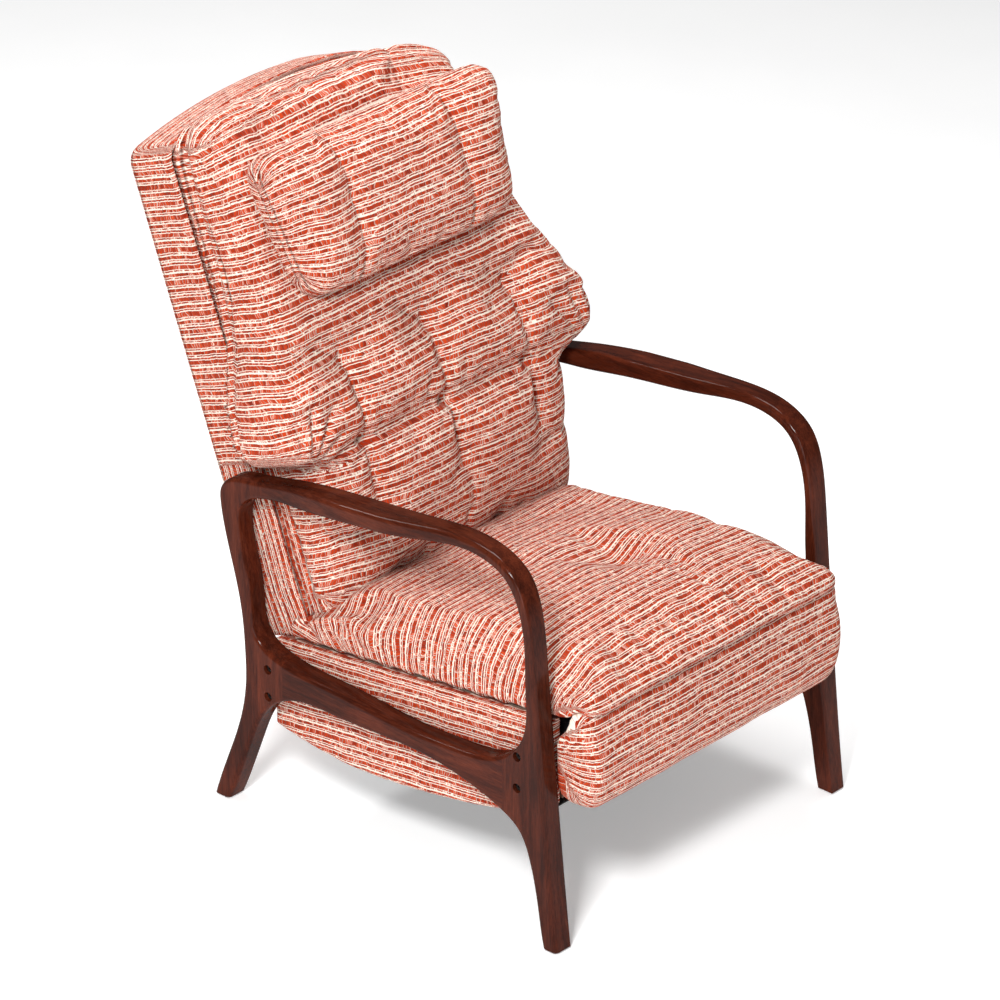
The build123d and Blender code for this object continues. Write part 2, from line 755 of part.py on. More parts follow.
with BuildPart() as seat_cushion:
    for reach, rise, crown in seat_shares:
        y = seat_rear - reach * seat_section_reach
        low = seat_line(y) + seat_under_gap
        top = low + rise * seat_side_rise
        start = low + shoulder_start_share * (top - low)
        bulge_x = seat_shoulder_x + shoulder_out_share * (seat_half_width - seat_shoulder_x)
        bulge_z = start + shoulder_up_share * (top - start)
        with BuildSketch(Plane.XZ.offset(-y)):
            with BuildLine():
                Line((-seat_bottom_half_width, low), (seat_bottom_half_width, low))
                Line((seat_bottom_half_width, low), (seat_half_width, start))
                ThreePointArc((seat_half_width, start), (bulge_x, bulge_z), (seat_shoulder_x, top))
                ThreePointArc(
                    (seat_shoulder_x, top), (0, top + crown * seat_crown), (-seat_shoulder_x, top)
                )
                ThreePointArc((-seat_shoulder_x, top), (-bulge_x, bulge_z), (-seat_half_width, start))
                Line((-seat_half_width, start), (-seat_bottom_half_width, low))
            make_face()
    loft()
    lip_radius = roll_radius + lip_gap
    lip_start = lip_spot(lip_from_angle, lip_radius)
    lip_end = lip_spot(lip_to_angle, lip_radius)
    nose_top = (nose_y + nose_roll_depth, frame_height - nose_top_drop)
    nose_mid = (nose_y + nose_roll_mid, nose_top[1] - nose_mid_drop)
    nose_low = (nose_y + nose_crease_depth, lip_start[1] + nose_crease_rise)
    heel = (box_front - nose_heel, seat_line(box_front))
    with BuildSketch(Plane.YZ):
        with BuildLine():
            ThreePointArc(nose_top, nose_mid, nose_low)
            Line(nose_low, lip_start)
            ThreePointArc(lip_start, lip_spot((lip_from_angle + lip_to_angle) / 2, lip_radius), lip_end)
            Polyline(
                lip_end,
                heel,
                (heel[0], 0),
                (seat_rear + overrun, 0),
                (seat_rear + overrun, frame_height),
                (nose_top[0], frame_height),
                nose_top,
            )
        make_face()
    extrude(amount=outer_face, both=True, mode=Mode.INTERSECT)
    corner_mid = (nose_corner_x + nose_corner_out, nose_corner_y - nose_corner_forward)
    with BuildSketch(Plane.XY):
        with BuildLine():
            side_x = seat_half_width + overrun
            nose_shoulder = (nose_corner_x, nose_y + nose_side_setback)
            ThreePointArc((seat_half_width, nose_corner_y), corner_mid, nose_shoulder)
            ThreePointArc(nose_shoulder, (0, nose_y), (-nose_corner_x, nose_shoulder[1]))
            ThreePointArc(
                (-nose_corner_x, nose_shoulder[1]),
                (-corner_mid[0], corner_mid[1]),
                (-seat_half_width, nose_corner_y),
            )
            Polyline(
                (-seat_half_width, nose_corner_y),
                (-side_x, nose_corner_y),
                (-side_x, seat_rear + overrun),
                (side_x, seat_rear + overrun),
                (side_x, nose_corner_y),
                (seat_half_width, nose_corner_y),
            )
        make_face()
    extrude(amount=frame_height, mode=Mode.INTERSECT)
export(seat_cushion.part, "seat_cushion")

# Frame of the reclining back
post_inner = bracket_outer
post_outer = post_inner + post_width
post_rear = -shell_rear + shell_back_wall + soft_gap
post_front = post_rear + post_depth
rail_low_spots = [lower_rail_bottom, post_top - frame_rail_height]
back_dowel_rises = []
for low in rail_low_spots:
    back_dowel_rises += [low + dowel_spread, low + frame_rail_height - dowel_spread]
post_mid_forward = (post_rear + post_front) / 2
bracket_screw_rises = [bracket_foot_low + screw_length, bracket_foot_high - screw_length]


def back_pegs(side, mode, play):
    for rise in back_dowel_rises:
        y, z = back_spot(rise, post_mid_forward)
        peg_start = side * (post_outer - dowel_length)
        cross_bar(peg_start, side * post_outer, y, z, dowel_radius + play, mode)


with BuildPart() as right_back_post:
    back_block(post_inner, post_outer, post_bottom, post_top, post_rear, post_front)
    back_pegs(1, Mode.SUBTRACT, dowel_play)
    for rise in bracket_screw_rises:
        y, z = back_spot(rise, post_mid_forward)
        screw_end = bracket_inner + screw_length
        cross_bar(bracket_inner, screw_end, y, z, screw_radius + pin_play, Mode.SUBTRACT)
export_pair(right_back_post.part, "back_post")

with BuildPart() as back_lower_rail:
    rail_top = lower_rail_bottom + frame_rail_height
    back_block(-post_inner, post_inner, lower_rail_bottom, rail_top, post_rear, post_front)
    for side in (-1, 1):
        back_pegs(side, Mode.SUBTRACT, dowel_play)
export(back_lower_rail.part, "back_lower_rail")

with BuildPart() as back_top_rail:
    back_block(-post_inner, post_inner, post_top - frame_rail_height, post_top, post_rear, post_front)
    for side in (-1, 1):
        back_pegs(side, Mode.SUBTRACT, dowel_play)
export(back_top_rail.part, "back_top_rail")

with BuildPart() as back_dowels:
    for side in (-1, 1):
        back_pegs(side, Mode.ADD, 0)
export(back_dowels.part, "back_dowels")

with BuildPart() as back_straps:
    for count in range(back_strap_count):
        low = back_strap_first + count * back_strap_pitch
        strap_front = post_front + strap_thickness
        back_block(-post_outer, post_outer, low, low + strap_width, post_front, strap_front)
export(back_straps.part, "back_straps")

# Padded outer shell of the back, open to the front and below
shell_height = shell_side_top - shell_bottom
shell_mid = (shell_side_top + shell_bottom) / 2


def shell_outline(inset):
    half = shell_half_width - inset
    low = shell_bottom - (overrun if inset else 0)
    high = shell_side_top - inset
    Line((-half, high), (-half, low))
    Line((-half, low), (half, low))
    Line((half, low), (half, high))
    ThreePointArc((half, high), (0, high + shell_crown), (-half, high))


with BuildPart() as back_shell:
    with BuildSketch(facing_back(-shell_rear)):
        with BuildLine():
            shell_outline(0)
        shell_face = make_face()
        fillet(shell_face.vertices().sort_by(Axis.Y)[-2:], shell_corner)
    extrude(amount=shell_rear + shell_front_bottom)
    shell_back = back_shell.faces().filter_by(Plane(origin=(0, 0, 0), z_dir=n_axis)).sort_by(Axis.Y)[-1]
    low_edge = shell_back.edges().sort_by(Axis.Z)[0]
    fillet([edge for edge in shell_back.edges() if edge != low_edge], shell_round)
    with BuildSketch(facing_back(-shell_rear + shell_back_wall)):
        with BuildLine():
            shell_outline(shell_wall)
        hollow_face = make_face()
        fillet(hollow_face.vertices().sort_by(Axis.Y)[-2:], shell_corner - shell_wall)
    extrude(amount=shell_rear + shell_front_bottom, mode=Mode.SUBTRACT)
    with BuildSketch(beside_back(0)):
        with BuildLine():
            reach = shell_front_bottom + overrun
            Polyline(
                (-shell_front_bottom, shell_bottom),
                (-shell_front_top, shell_side_top + shell_crown + overrun),
                (-reach, shell_side_top + shell_crown + overrun),
                (-reach, shell_bottom),
                (-shell_front_bottom, shell_bottom),
            )
        make_face()
    extrude(amount=outer_face, both=True, mode=Mode.SUBTRACT)
export(back_shell.part, "back_shell")

# Back cushion of two lofted lobes that meet in the tufted crease
# Shares of the cushion's rise, crown and half width
lower_lobe_shares = [(0.088, 0.465, 0.812), (0.108, 0.535, 0.829), (0.147, 0.657, 0.843)]
lower_lobe_shares += [(0.2, 0.768, 0.843), (0.271, 0.889, 0.843), (0.335, 0.949, 0.843)]
lower_lobe_shares += [(0.367, 0.939, 0.843), (0.382, 0.869, 0.843)]
upper_lobe_shares = [(0.382, 0.869, 0.922), (0.398, 0.945, 0.986), (0.426, 0.985, 0.994)]
upper_lobe_shares += [(0.489, 0.965, 0.971), (0.607, 0.818, 0.884), (0.725, 0.677, 0.867)]
upper_lobe_shares += [(0.824, 0.636, 0.864), (0.901, 0.596, 0.86), (0.972, 0.545, 0.835)]
upper_lobe_shares += [(1.0, 0.424, 0.759)]
# Shares of the cushion's rise and of the way that its hollow rear has come forward
rear_rise_shares = [(0.607, 0.0), (0.725, 0.05), (0.824, 0.2), (0.901, 0.5), (0.972, 1.0)]
# Shares of the half width and of the crown at which the front shoulder ends and bulges
shoulder_x_share = 0.89
shoulder_crown_share = 0.92
bulge_x_share = 0.972
bulge_crown_share = 0.66


def cushion_section(rise, crown, width):
    w = width * cushion_half_width
    crest = crown * cushion_crown
    lift = crest - cushion_rim_front
    shoulder = (shoulder_x_share * w, -cushion_rim_front - shoulder_crown_share * lift)
    bulge = (bulge_x_share * w, -cushion_rim_front - bulge_crown_share * lift)
    rear = cushion_rear_crown
    for start, share in rear_rise_shares:
        if rise > start - pin_play:
            rear = cushion_rear_crown + share * (cushion_top_rear - cushion_rear_crown)
    hollow = min(w - rear_land, shell_half_width - rear_land)
    Line((-w, -cushion_rim_rear), (-hollow, -cushion_rim_rear))
    ThreePointArc((-hollow, -cushion_rim_rear), (0, -rear), (hollow, -cushion_rim_rear))
    Line((hollow, -cushion_rim_rear), (w, -cushion_rim_rear))
    Line((w, -cushion_rim_rear), (w, -cushion_rim_front))
    ThreePointArc((w, -cushion_rim_front), bulge, shoulder)
    ThreePointArc(shoulder, (0, -crest), (-shoulder[0], shoulder[1]))
    ThreePointArc((-shoulder[0], shoulder[1]), (-bulge[0], bulge[1]), (-w, -cushion_rim_front))
    Line((-w, -cushion_rim_front), (-w, -cushion_rim_rear))


with BuildPart() as lower_lobe:
    for rise, crown, width in lower_lobe_shares:
        with BuildSketch(across_back(rise * cushion_rise)):
            with BuildLine():
                cushion_section(rise, crown, width)
            make_face()
    loft()

with BuildPart() as back_cushion:
    for rise, crown, width in upper_lobe_shares:
        with BuildSketch(across_back(rise * cushion_rise)):
            with BuildLine():
                cushion_section(rise, crown, width)
            make_face()
    loft()
    add(lower_lobe.part)
    tuft_forward = lower_lobe_shares[-2][1] * cushion_crown
    for x in (-tuft_column, 0, tuft_column):
        spot = pivot + u_axis * (tuft_rise - tuft_length / 2) + n_axis * tuft_forward
        with Locations(Plane(origin=spot + Vector(x, 0, 0), x_dir=(1, 0, 0), z_dir=u_axis)):
            Cylinder(tuft_radius, tuft_length, mode=Mode.SUBTRACT)
export(back_cushion.part, "back_cushion")

# Head pillow, lofted from its lower to its upper edge
# Shares of the pillow's half height, half width and fullness
pillow_shares = [(-1.0, 0.87, 0.1), (-0.93, 0.955, 0.45), (-0.72, 1.0, 0.8), (-0.36, 1.0, 0.97)]
pillow_shares += [(0.0, 1.0, 1.0), (0.36, 1.0, 0.97), (0.72, 1.0, 0.8)]
pillow_shares += [(0.93, 0.955, 0.45), (1.0, 0.87, 0.1)]
# Shares of the half width and fullness at which a face flattens and bulges
flat_x_share = 0.78
flat_full_share = 0.9
edge_x_share = 0.94
edge_full_share = 0.6


def pillow_face(w, rim, depth):
    flat = (flat_x_share * w, -rim - flat_full_share * depth)
    edge = (edge_x_share * w, -rim - edge_full_share * depth)
    return [(w, -rim), edge, flat, (0, -rim - depth), (-flat[0], flat[1]), (-edge[0], edge[1]), (-w, -rim)]


with BuildPart() as head_pillow:
    for height, width, full in pillow_shares:
        rise = pillow_rise + height * pillow_half_height
        front_rim = pillow_rim + pillow_band / 2
        rear_rim = pillow_rim - pillow_band / 2
        front = pillow_face(width * pillow_half_width, front_rim, full * (pillow_front - front_rim))
        rear = pillow_face(width * pillow_half_width, rear_rim, full * (pillow_rear - rear_rim))
        with BuildSketch(across_back(rise)):
            with BuildLine():
                for face in (front, rear):
                    ThreePointArc(*face[0:3])
                    ThreePointArc(*face[2:5])
                    ThreePointArc(*face[4:7])
                Line(front[0], rear[0])
                Line(front[6], rear[6])
            make_face()
    loft()
export(head_pillow.part, "head_pillow")

# Brackets that join the back posts to their pivots and carry the crank pins
foot_low_front = back_spot(bracket_foot_low, post_front - bracket_margin)
foot_low_rear = back_spot(bracket_foot_low, post_rear + bracket_margin)
foot_high_rear = back_spot(bracket_foot_high, post_rear + bracket_margin)
foot_high_front = back_spot(bracket_foot_high, post_front - bracket_margin)
with BuildPart() as right_back_bracket:
    with BuildSketch(Plane.YZ.offset(bracket_inner)):
        with Locations((pivot_y, pivot_z)):
            Circle(bracket_eye)
        with Locations((crank_y, crank_z)):
            Circle(crank_eye)
        make_hull()
    extrude(amount=plate_thickness)
    with BuildSketch(Plane.YZ.offset(bracket_inner)):
        with Locations((pivot_y, pivot_z)):
            Circle(bracket_eye)
        Polygon(foot_low_front, foot_low_rear, foot_high_rear, foot_high_front, align=None)
        make_hull()
    extrude(amount=plate_thickness)
    for y, z in ((pivot_y, pivot_z), (crank_y, crank_z)):
        cross_bar(bracket_inner, bracket_outer, y, z, pin_radius + pin_play, Mode.SUBTRACT)
    for rise in bracket_screw_rises:
        y, z = back_spot(rise, post_mid_forward)
        cross_bar(bracket_inner, bracket_outer, y, z, screw_radius + pin_play, Mode.SUBTRACT)
export_pair(right_back_bracket.part, "back_bracket")

with BuildPart() as back_screws:
    for side in (-1, 1):
        for rise in bracket_screw_rises:
            y, z = back_spot(rise, post_mid_forward)
            cross_bar(side * bracket_inner, side * (bracket_inner + screw_length), y, z, screw_radius)
            head_x = bracket_inner - screw_head_length
            cross_bar(side * head_x, side * bracket_inner, y, z, screw_head_radius)
export(back_screws.part, "back_screws")


def crank_pin(side, y, z):
    pin_end = link_outer + side_play
    cross_bar(side * bracket_inner, side * pin_end, y, z, pin_radius)
    cross_bar(side * pin_end, side * (pin_end + screw_head_length), y, z, rest_head_radius)


with BuildPart() as back_crank_pins:
    crank_pin(-1, crank_y, crank_z)
    crank_pin(1, crank_y, crank_z)
export(back_crank_pins.part, "back_crank_pins")

with BuildPart() as footrest_crank_pins:
    crank_pin(-1, rest_crank_y, rest_crank_z)
    crank_pin(1, rest_crank_y, rest_crank_z)
export(footrest_crank_pins.part, "footrest_crank_pins")

# Flat links from the back brackets to the footrest brackets
link_slope = (rest_crank_z - crank_z) / (crank_y - rest_crank_y)
slot_z = rest_crank_z - slot_sag
slot_width = pin_radius + slot_side_play
with BuildPart() as right_drive_link:
    with BuildSketch(Plane.YZ.offset(link_inner)):
        Polygon(
            (crank_y, crank_z - link_half_height),
            (crank_y, crank_z + link_half_height),
            (rest_crank_y, slot_z + link_half_height),
            (rest_crank_y, slot_z - link_half_height),
            align=None,
        )
        with Locations((crank_y, crank_z)):
            Circle(crank_eye)
            Circle(pin_radius + pin_play, mode=Mode.SUBTRACT)
        with Locations(Location((rest_crank_y, slot_z), 90)):
            SlotCenterToCenter(2 * slot_half, 2 * (slot_width + link_half_height / 2))
            SlotCenterToCenter(2 * slot_half, 2 * slot_width, mode=Mode.SUBTRACT)
    extrude(amount=plate_thickness)
export_pair(right_drive_link.part, "drive_link")

# Footrest board, its brackets and its padded front
board_front_y = rest_board_rear - rest_board_thickness
footrest_screw_x = flange_outer - screw_length
footrest_screw_spots = [
    (footrest_screw_x, flange_bottom + screw_length),
    (footrest_screw_x, flange_top - screw_length),
]
flange_face_y = rest_board_rear + flange_thickness

with BuildPart() as footrest_board:
    with BuildSketch(Plane.XZ.offset(-rest_board_rear)):
        board_mid = (rest_board_top + rest_board_bottom) / 2
        with Locations((0, board_mid)):
            RectangleRounded(2 * flange_outer, rest_board_top - rest_board_bottom, rest_board_corner)
    extrude(amount=rest_board_thickness)
    for side in (-1, 1):
        x_from, x_to = sorted((side * slot_inner, side * slot_outer))
        block(
            x_from, x_to, board_front_y - overrun, rest_board_rear + overrun,
            notch_bottom, rest_pivot_z, Mode.SUBTRACT,
        )
        for x, z in footrest_screw_spots:
            screw_tip = flange_face_y - screw_length
            deep_bar(screw_tip, flange_face_y, side * x, z, screw_radius + pin_play, Mode.SUBTRACT)
export(footrest_board.part, "footrest_board")

with BuildPart() as right_footrest_bracket:
    with BuildSketch(Plane.YZ.offset(bracket_inner)):
        with Locations((rest_pivot_y, rest_pivot_z)):
            Circle(rest_eye)
        with Locations((rest_crank_y, rest_crank_z)):
            Circle(rest_crank_eye)
        make_hull()
    extrude(amount=plate_thickness)
    with BuildSketch(Plane.YZ.offset(bracket_inner)):
        with Locations((rest_crank_y, rest_crank_z)):
            Circle(rest_crank_eye)
        with Locations(((leg_front + flange_face_y) / 2, (flange_bottom + flange_top) / 2)):
            Rectangle(flange_face_y - leg_front, flange_top - flange_bottom)
        make_hull()
    extrude(amount=plate_thickness)
    block(bracket_inner, flange_outer, rest_board_rear, flange_face_y, flange_bottom, flange_top)
    for y, z in ((rest_pivot_y, rest_pivot_z), (rest_crank_y, rest_crank_z)):
        cross_bar(bracket_inner, bracket_outer, y, z, pin_radius + pin_play, Mode.SUBTRACT)
    for x, z in footrest_screw_spots:
        deep_bar(rest_board_rear, flange_face_y, x, z, screw_radius + pin_play, Mode.SUBTRACT)
export_pair(right_footrest_bracket.part, "footrest_bracket")

with BuildPart() as footrest_screws:
    for side in (-1, 1):
        for x, z in footrest_screw_spots:
            deep_bar(flange_face_y - screw_length, flange_face_y, side * x, z, screw_radius)
            head_y = flange_face_y + screw_head_length
            deep_bar(flange_face_y, head_y, side * x, z, screw_head_radius)
export(footrest_screws.part, "footrest_screws")

# Shares of the pad height below the roll, for its front crown
pad_front_shares = [(0.09, 0.1), (0.35, 1.0), (0.62, 1.0)]
pad_height = rest_pivot_z - rest_bottom
pad_rear_y = board_front_y - soft_gap
roll_front = lip_spot(roll_end_angle, roll_radius)
roll_rear = lip_spot(roll_start_angle, roll_radius)
roll_crown = lip_spot((roll_end_angle + roll_start_angle) / 2, roll_radius)


def pad_front(share):
    a, b = share
    y = roll_front[0] + b * (rest_front - roll_front[0])
    return (y, rest_pivot_z - a * pad_height)


with BuildPart() as footrest_pad:
    crest_spots = [pad_front(share) for share in pad_front_shares]
    toe = (pad_rear_y - pad_toe, rest_bottom)
    with BuildSketch(Plane.YZ):
        with BuildLine():
            ThreePointArc(roll_rear, roll_crown, roll_front)
            Spline(roll_front, *crest_spots, toe)
            Line(toe, (pad_rear_y, rest_bottom + soft_gap))
            Line((pad_rear_y, rest_bottom + soft_gap), (pad_rear_y, rest_board_top))
            Line((pad_rear_y, rest_board_top), roll_rear)
        make_face()
    extrude(amount=rest_half_width, both=True)
    end_corner = (rest_half_width, pad_rear_y)
    end_shoulder = (nose_corner_x, rest_front + nose_side_setback)
    end_mid = (nose_corner_x + nose_corner_out - overrun, rest_end_front - rail_thickness / 2)
    with BuildSketch(Plane.XY):
        with BuildLine():
            Line(end_corner, (rest_half_width, rest_end_front + overrun))
            ThreePointArc((rest_half_width, rest_end_front + overrun), end_mid, end_shoulder)
            ThreePointArc(end_shoulder, (0, rest_front - overrun), (-nose_corner_x, end_shoulder[1]))
            ThreePointArc(
                (-nose_corner_x, end_shoulder[1]),
                (-end_mid[0], end_mid[1]),
                (-rest_half_width, rest_end_front + overrun),
            )
            Polyline(
                (-rest_half_width, rest_end_front + overrun),
                (-rest_half_width, pad_rear_y),
                end_corner,
            )
        make_face()
    extrude(amount=frame_height, mode=Mode.INTERSECT)
    with BuildSketch(Plane.XZ.offset(-pad_rear_y)):
        with Locations((0, rest_bottom + rest_pad_corner * 2)):
            RectangleRounded(2 * rest_half_width, 4 * rest_pad_corner, rest_pad_corner)
    extrude(amount=-frame_thickness * 2 + 4 * frame_thickness, mode=Mode.INTERSECT)
    for side in (-1, 1):
        x_from, x_to = sorted((side * slot_inner, side * slot_outer))
        block(
            x_from, x_to, slot_front, rest_board_rear, slot_bottom, frame_height, Mode.SUBTRACT
        )
export(footrest_pad.part, "footrest_pad")
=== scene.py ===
import bpy
import math
import numpy as np
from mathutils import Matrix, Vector


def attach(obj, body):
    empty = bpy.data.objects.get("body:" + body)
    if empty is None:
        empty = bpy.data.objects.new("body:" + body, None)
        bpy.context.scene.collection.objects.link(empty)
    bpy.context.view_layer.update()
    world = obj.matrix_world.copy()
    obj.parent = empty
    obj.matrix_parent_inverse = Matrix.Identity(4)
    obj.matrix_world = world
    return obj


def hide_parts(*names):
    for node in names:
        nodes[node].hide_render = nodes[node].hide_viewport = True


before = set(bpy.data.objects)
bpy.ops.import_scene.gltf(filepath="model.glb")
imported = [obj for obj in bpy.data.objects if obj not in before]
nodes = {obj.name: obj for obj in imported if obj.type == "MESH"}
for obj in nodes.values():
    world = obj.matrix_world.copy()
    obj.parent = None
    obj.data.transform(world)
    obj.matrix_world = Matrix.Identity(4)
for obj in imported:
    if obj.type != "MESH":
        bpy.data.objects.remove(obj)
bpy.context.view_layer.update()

scene = bpy.context.scene
MM = 0.001

# Sizes in millimetres
backTilt = 21
backPivot = np.array([0.0, 118.0, 285.0])
hingePivot = np.array([-470.0, 385.0])
seatHalf = 300
padHalf = 302
shellHalf = 296
shellRear = 80
shellCrown = 38
armLevel = 326
farDroop = 42
weaveRepeat = 52.0
columnWidth = 5.0
seamReach = 60

# Frame of reference of the reclined back
tilt = math.radians(backTilt)
upAxis = np.array([0.0, math.sin(tilt), math.cos(tilt)])
outAxis = np.array([0.0, -math.cos(tilt), math.sin(tilt)])


def toBack(points):
    rel = points - backPivot
    return np.stack([points[:, 0], rel @ upAxis, rel @ outAxis], axis=1)


def fromBack(local):
    return backPivot + np.outer(local[:, 1], upAxis) + np.outer(local[:, 2], outAxis) + np.stack(
        [local[:, 0], 0 * local[:, 0], 0 * local[:, 0]], axis=1)


# Curves and meshes
def smoothLine(points, step=6.0, closed=False):
    pts = np.array(points, float)
    if closed:
        pts = np.vstack([pts[-1], pts, pts[0], pts[1]])
    else:
        pts = np.vstack([2 * pts[0] - pts[1], pts, 2 * pts[-1] - pts[-2]])
    out = []
    for i in range(1, len(pts) - 2):
        a, b, c, d = pts[i - 1:i + 3]
        count = max(2, int(np.linalg.norm(c - b) / step))
        for k in range(count):
            t = k / count
            out.append(0.5 * (2 * b + (c - a) * t + (2 * a - 5 * b + 4 * c - d) * t * t
                              + (3 * b - a - 3 * c + d) * t ** 3))
    if not closed:
        out.append(pts[-2])
    return np.array(out)


def arcPoints(centre, radius, start, end, count):
    angles = np.radians(np.linspace(start, end, count))
    return [(centre[0] + radius * math.cos(a), centre[1] + radius * math.sin(a)) for a in angles]


def skin(name, loops):
    count = len(loops[0])
    verts = np.vstack(loops) * MM
    faces = []
    for i in range(len(loops) - 1):
        for j in range(count):
            k = (j + 1) % count
            faces.append((i * count + j, i * count + k, (i + 1) * count + k, (i + 1) * count + j))
    faces.append(tuple(range(count - 1, -1, -1)))
    last = (len(loops) - 1) * count
    faces.append(tuple(range(last, last + count)))
    mesh = bpy.data.meshes.new(name)
    mesh.from_pydata(verts.tolist(), [], faces)
    obj = bpy.data.objects.new(name, mesh)
    scene.collection.objects.link(obj)
    return obj


def bake(obj):
    bpy.context.view_layer.update()
    deps = bpy.context.evaluated_depsgraph_get()
    mesh = bpy.data.meshes.new_from_object(obj.evaluated_get(deps))
    obj.modifiers.clear()
    obj.data = mesh


def remesh(obj, size):
    mod = obj.modifiers.new("Remesh", "REMESH")
    mod.mode = "VOXEL"
    mod.voxel_size = size
    bake(obj)


def relax(obj, factor, rounds):
    mod = obj.modifiers.new("Smooth", "SMOOTH")
    mod.factor = factor
    mod.iterations = rounds
    bake(obj)


def getPoints(obj):
    flat = np.empty(len(obj.data.vertices) * 3, np.float32)
    obj.data.vertices.foreach_get("co", flat)
    return flat.reshape(-1, 3).astype(float) / MM


def setPoints(obj, points):
    obj.data.vertices.foreach_set("co", (points * MM).astype(np.float32).ravel())
    obj.data.update()


def getNormals(obj):
    flat = np.empty(len(obj.data.vertices) * 3, np.float32)
    obj.data.vertices.foreach_get("normal", flat)
    return flat.reshape(-1, 3).astype(float)


def store(obj, name, values):
    attr = obj.data.attributes.new(name, "FLOAT", "POINT")
    attr.data.foreach_set("value", np.asarray(values, np.float32))


def alongLine(flat, line):
    a = line[:-1]
    d = line[1:] - a
    length = np.linalg.norm(d, axis=1)
    start = np.concatenate([[0], np.cumsum(length)[:-1]])
    run = np.zeros(len(flat))
    gap = np.zeros(len(flat))
    for low in range(0, len(flat), 20000):
        p = flat[low:low + 20000]
        t = np.clip(((p[:, None] - a) * d).sum(2) / (length ** 2 + 1e-9), 0, 1)
        near = a + t[..., None] * d
        dist = np.linalg.norm(p[:, None] - near, axis=2)
        best = dist.argmin(1)
        rows = np.arange(len(p))
        run[low:low + 20000] = start[best] + t[rows, best] * length[best]
        gap[low:low + 20000] = dist[rows, best]
    return run, gap


def toLine(points, line):
    return alongLine(points, np.array(line, float))[1]


def paintStripes(obj, flat, line, offset=0.0):
    run, gap = alongLine(flat, line)
    x = getPoints(obj)[:, 0]
    store(obj, "run", run + offset)
    store(obj, "warp", x + np.sign(x) * np.minimum(gap, 400))


def valley(dist, width):
    return np.exp(-dist / width)


def puff(obj, pins, pressure, grow, frames=18, cap=25.0):
    before = getPoints(obj)
    group = obj.vertex_groups.new(name="pins")
    for i, w in enumerate(pins):
        if w > 0.02:
            group.add([i], float(min(1.0, w)), "REPLACE")
    mod = obj.modifiers.new("Cloth", "CLOTH")
    s = mod.settings
    s.quality = 5
    s.mass = 0.3
    s.tension_stiffness = 18
    s.compression_stiffness = 12
    s.shear_stiffness = 6
    s.bending_stiffness = 0.25
    s.vertex_group_mass = "pins"
    s.use_pressure = True
    s.uniform_pressure_force = pressure
    s.shrink_min = -grow
    s.effector_weights.gravity = 0
    mod.collision_settings.use_collision = False
    mod.point_cache.frame_start = 1
    mod.point_cache.frame_end = frames
    for number in range(1, frames + 1):
        scene.frame_set(number)
    bake(obj)
    scene.frame_set(1)
    obj.vertex_groups.clear()
    after = getPoints(obj)
    move = after - before
    size = np.linalg.norm(move, axis=1)
    scale = np.minimum(1, cap / np.maximum(size, 1e-6))
    setPoints(obj, before + move * scale[:, None])
    print("puffed", obj.name, "largest move", round(float(size.max()), 1))


def shadeSmooth(obj):
    obj.data.polygons.foreach_set("use_smooth", [True] * len(obj.data.polygons))
    obj.data.update()


def subdivide(obj):
    mod = obj.modifiers.new("Subdivision", "SUBSURF")
    mod.levels = 1
    mod.render_levels = 1
    bake(obj)


# Materials
class Net:
    def __init__(self, name):
        self.material = bpy.data.materials.new(name)
        self.material.use_nodes = True
        self.tree = self.material.node_tree
        self.shader = self.tree.nodes["Principled BSDF"]

    def node(self, kind, inputs=None, **props):
        n = self.tree.nodes.new(kind)
        for key, value in props.items():
            setattr(n, key, value)
        for key, value in (inputs or {}).items():
            self.plug(value, n.inputs[key])
        return n

    def plug(self, value, socket):
        if hasattr(value, "is_output"):
            self.tree.links.new(value, socket)
        else:
            socket.default_value = value

    def calc(self, operation, a, b=0.0, c=0.0):
        n = self.node("ShaderNodeMath", operation=operation)
        for socket, value in zip(n.inputs, (a, b, c)):
            self.plug(value, socket)
        return n.outputs[0]

    def attribute(self, name):
        return self.node("ShaderNodeAttribute", attribute_name=name).outputs["Fac"]

    def vector(self, x, y, z=0.0):
        return self.node("ShaderNodeCombineXYZ", {0: x, 1: y, 2: z}).outputs[0]

    def noise(self, vector, scale, detail=2.0, rough=0.5, distortion=0.0):
        n = self.node("ShaderNodeTexNoise", {"Vector": vector, "Scale": scale, "Detail": detail,
                                             "Roughness": rough, "Distortion": distortion})
        return n.outputs["Fac"]

    def between(self, value, low, high, toLow=0.0, toHigh=1.0):
        n = self.node("ShaderNodeMapRange", {0: value, 1: low, 2: high, 3: toLow, 4: toHigh})
        n.interpolation_type = "SMOOTHSTEP"
        return n.outputs[0]

    def ramp(self, value, stops, mode="LINEAR"):
        n = self.node("ShaderNodeValToRGB", {0: value})
        n.color_ramp.interpolation = mode
        ramp = n.color_ramp.elements
        while len(ramp) < len(stops):
            ramp.new(0.5)
        for element, (place, color) in zip(ramp, stops):
            element.position = place
            element.color = color if len(color) == 4 else (*color, 1)
        return n.outputs[0]

    def mix(self, fac, a, b, blend="MIX"):
        n = self.node("ShaderNodeMix", data_type="RGBA", blend_type=blend)
        self.plug(fac, n.inputs[0])
        self.plug(a, n.inputs[6])
        self.plug(b, n.inputs[7])
        return n.outputs[2]

    def bump(self, height, strength, distance, normal=None):
        n = self.node("ShaderNodeBump", {"Height": height, "Strength": strength, "Distance": distance})
        if normal:
            self.plug(normal, n.inputs["Normal"])
        return n.outputs[0]

    def shade(self, value):
        return self.node("ShaderNodeCombineColor", {0: value, 1: value, 2: value}).outputs[0]

    def set(self, **inputs):
        for key, value in inputs.items():
            self.plug(value, self.shader.inputs[key.replace("_", " ")])


def grey(v):
    return (v, v, v, 1)


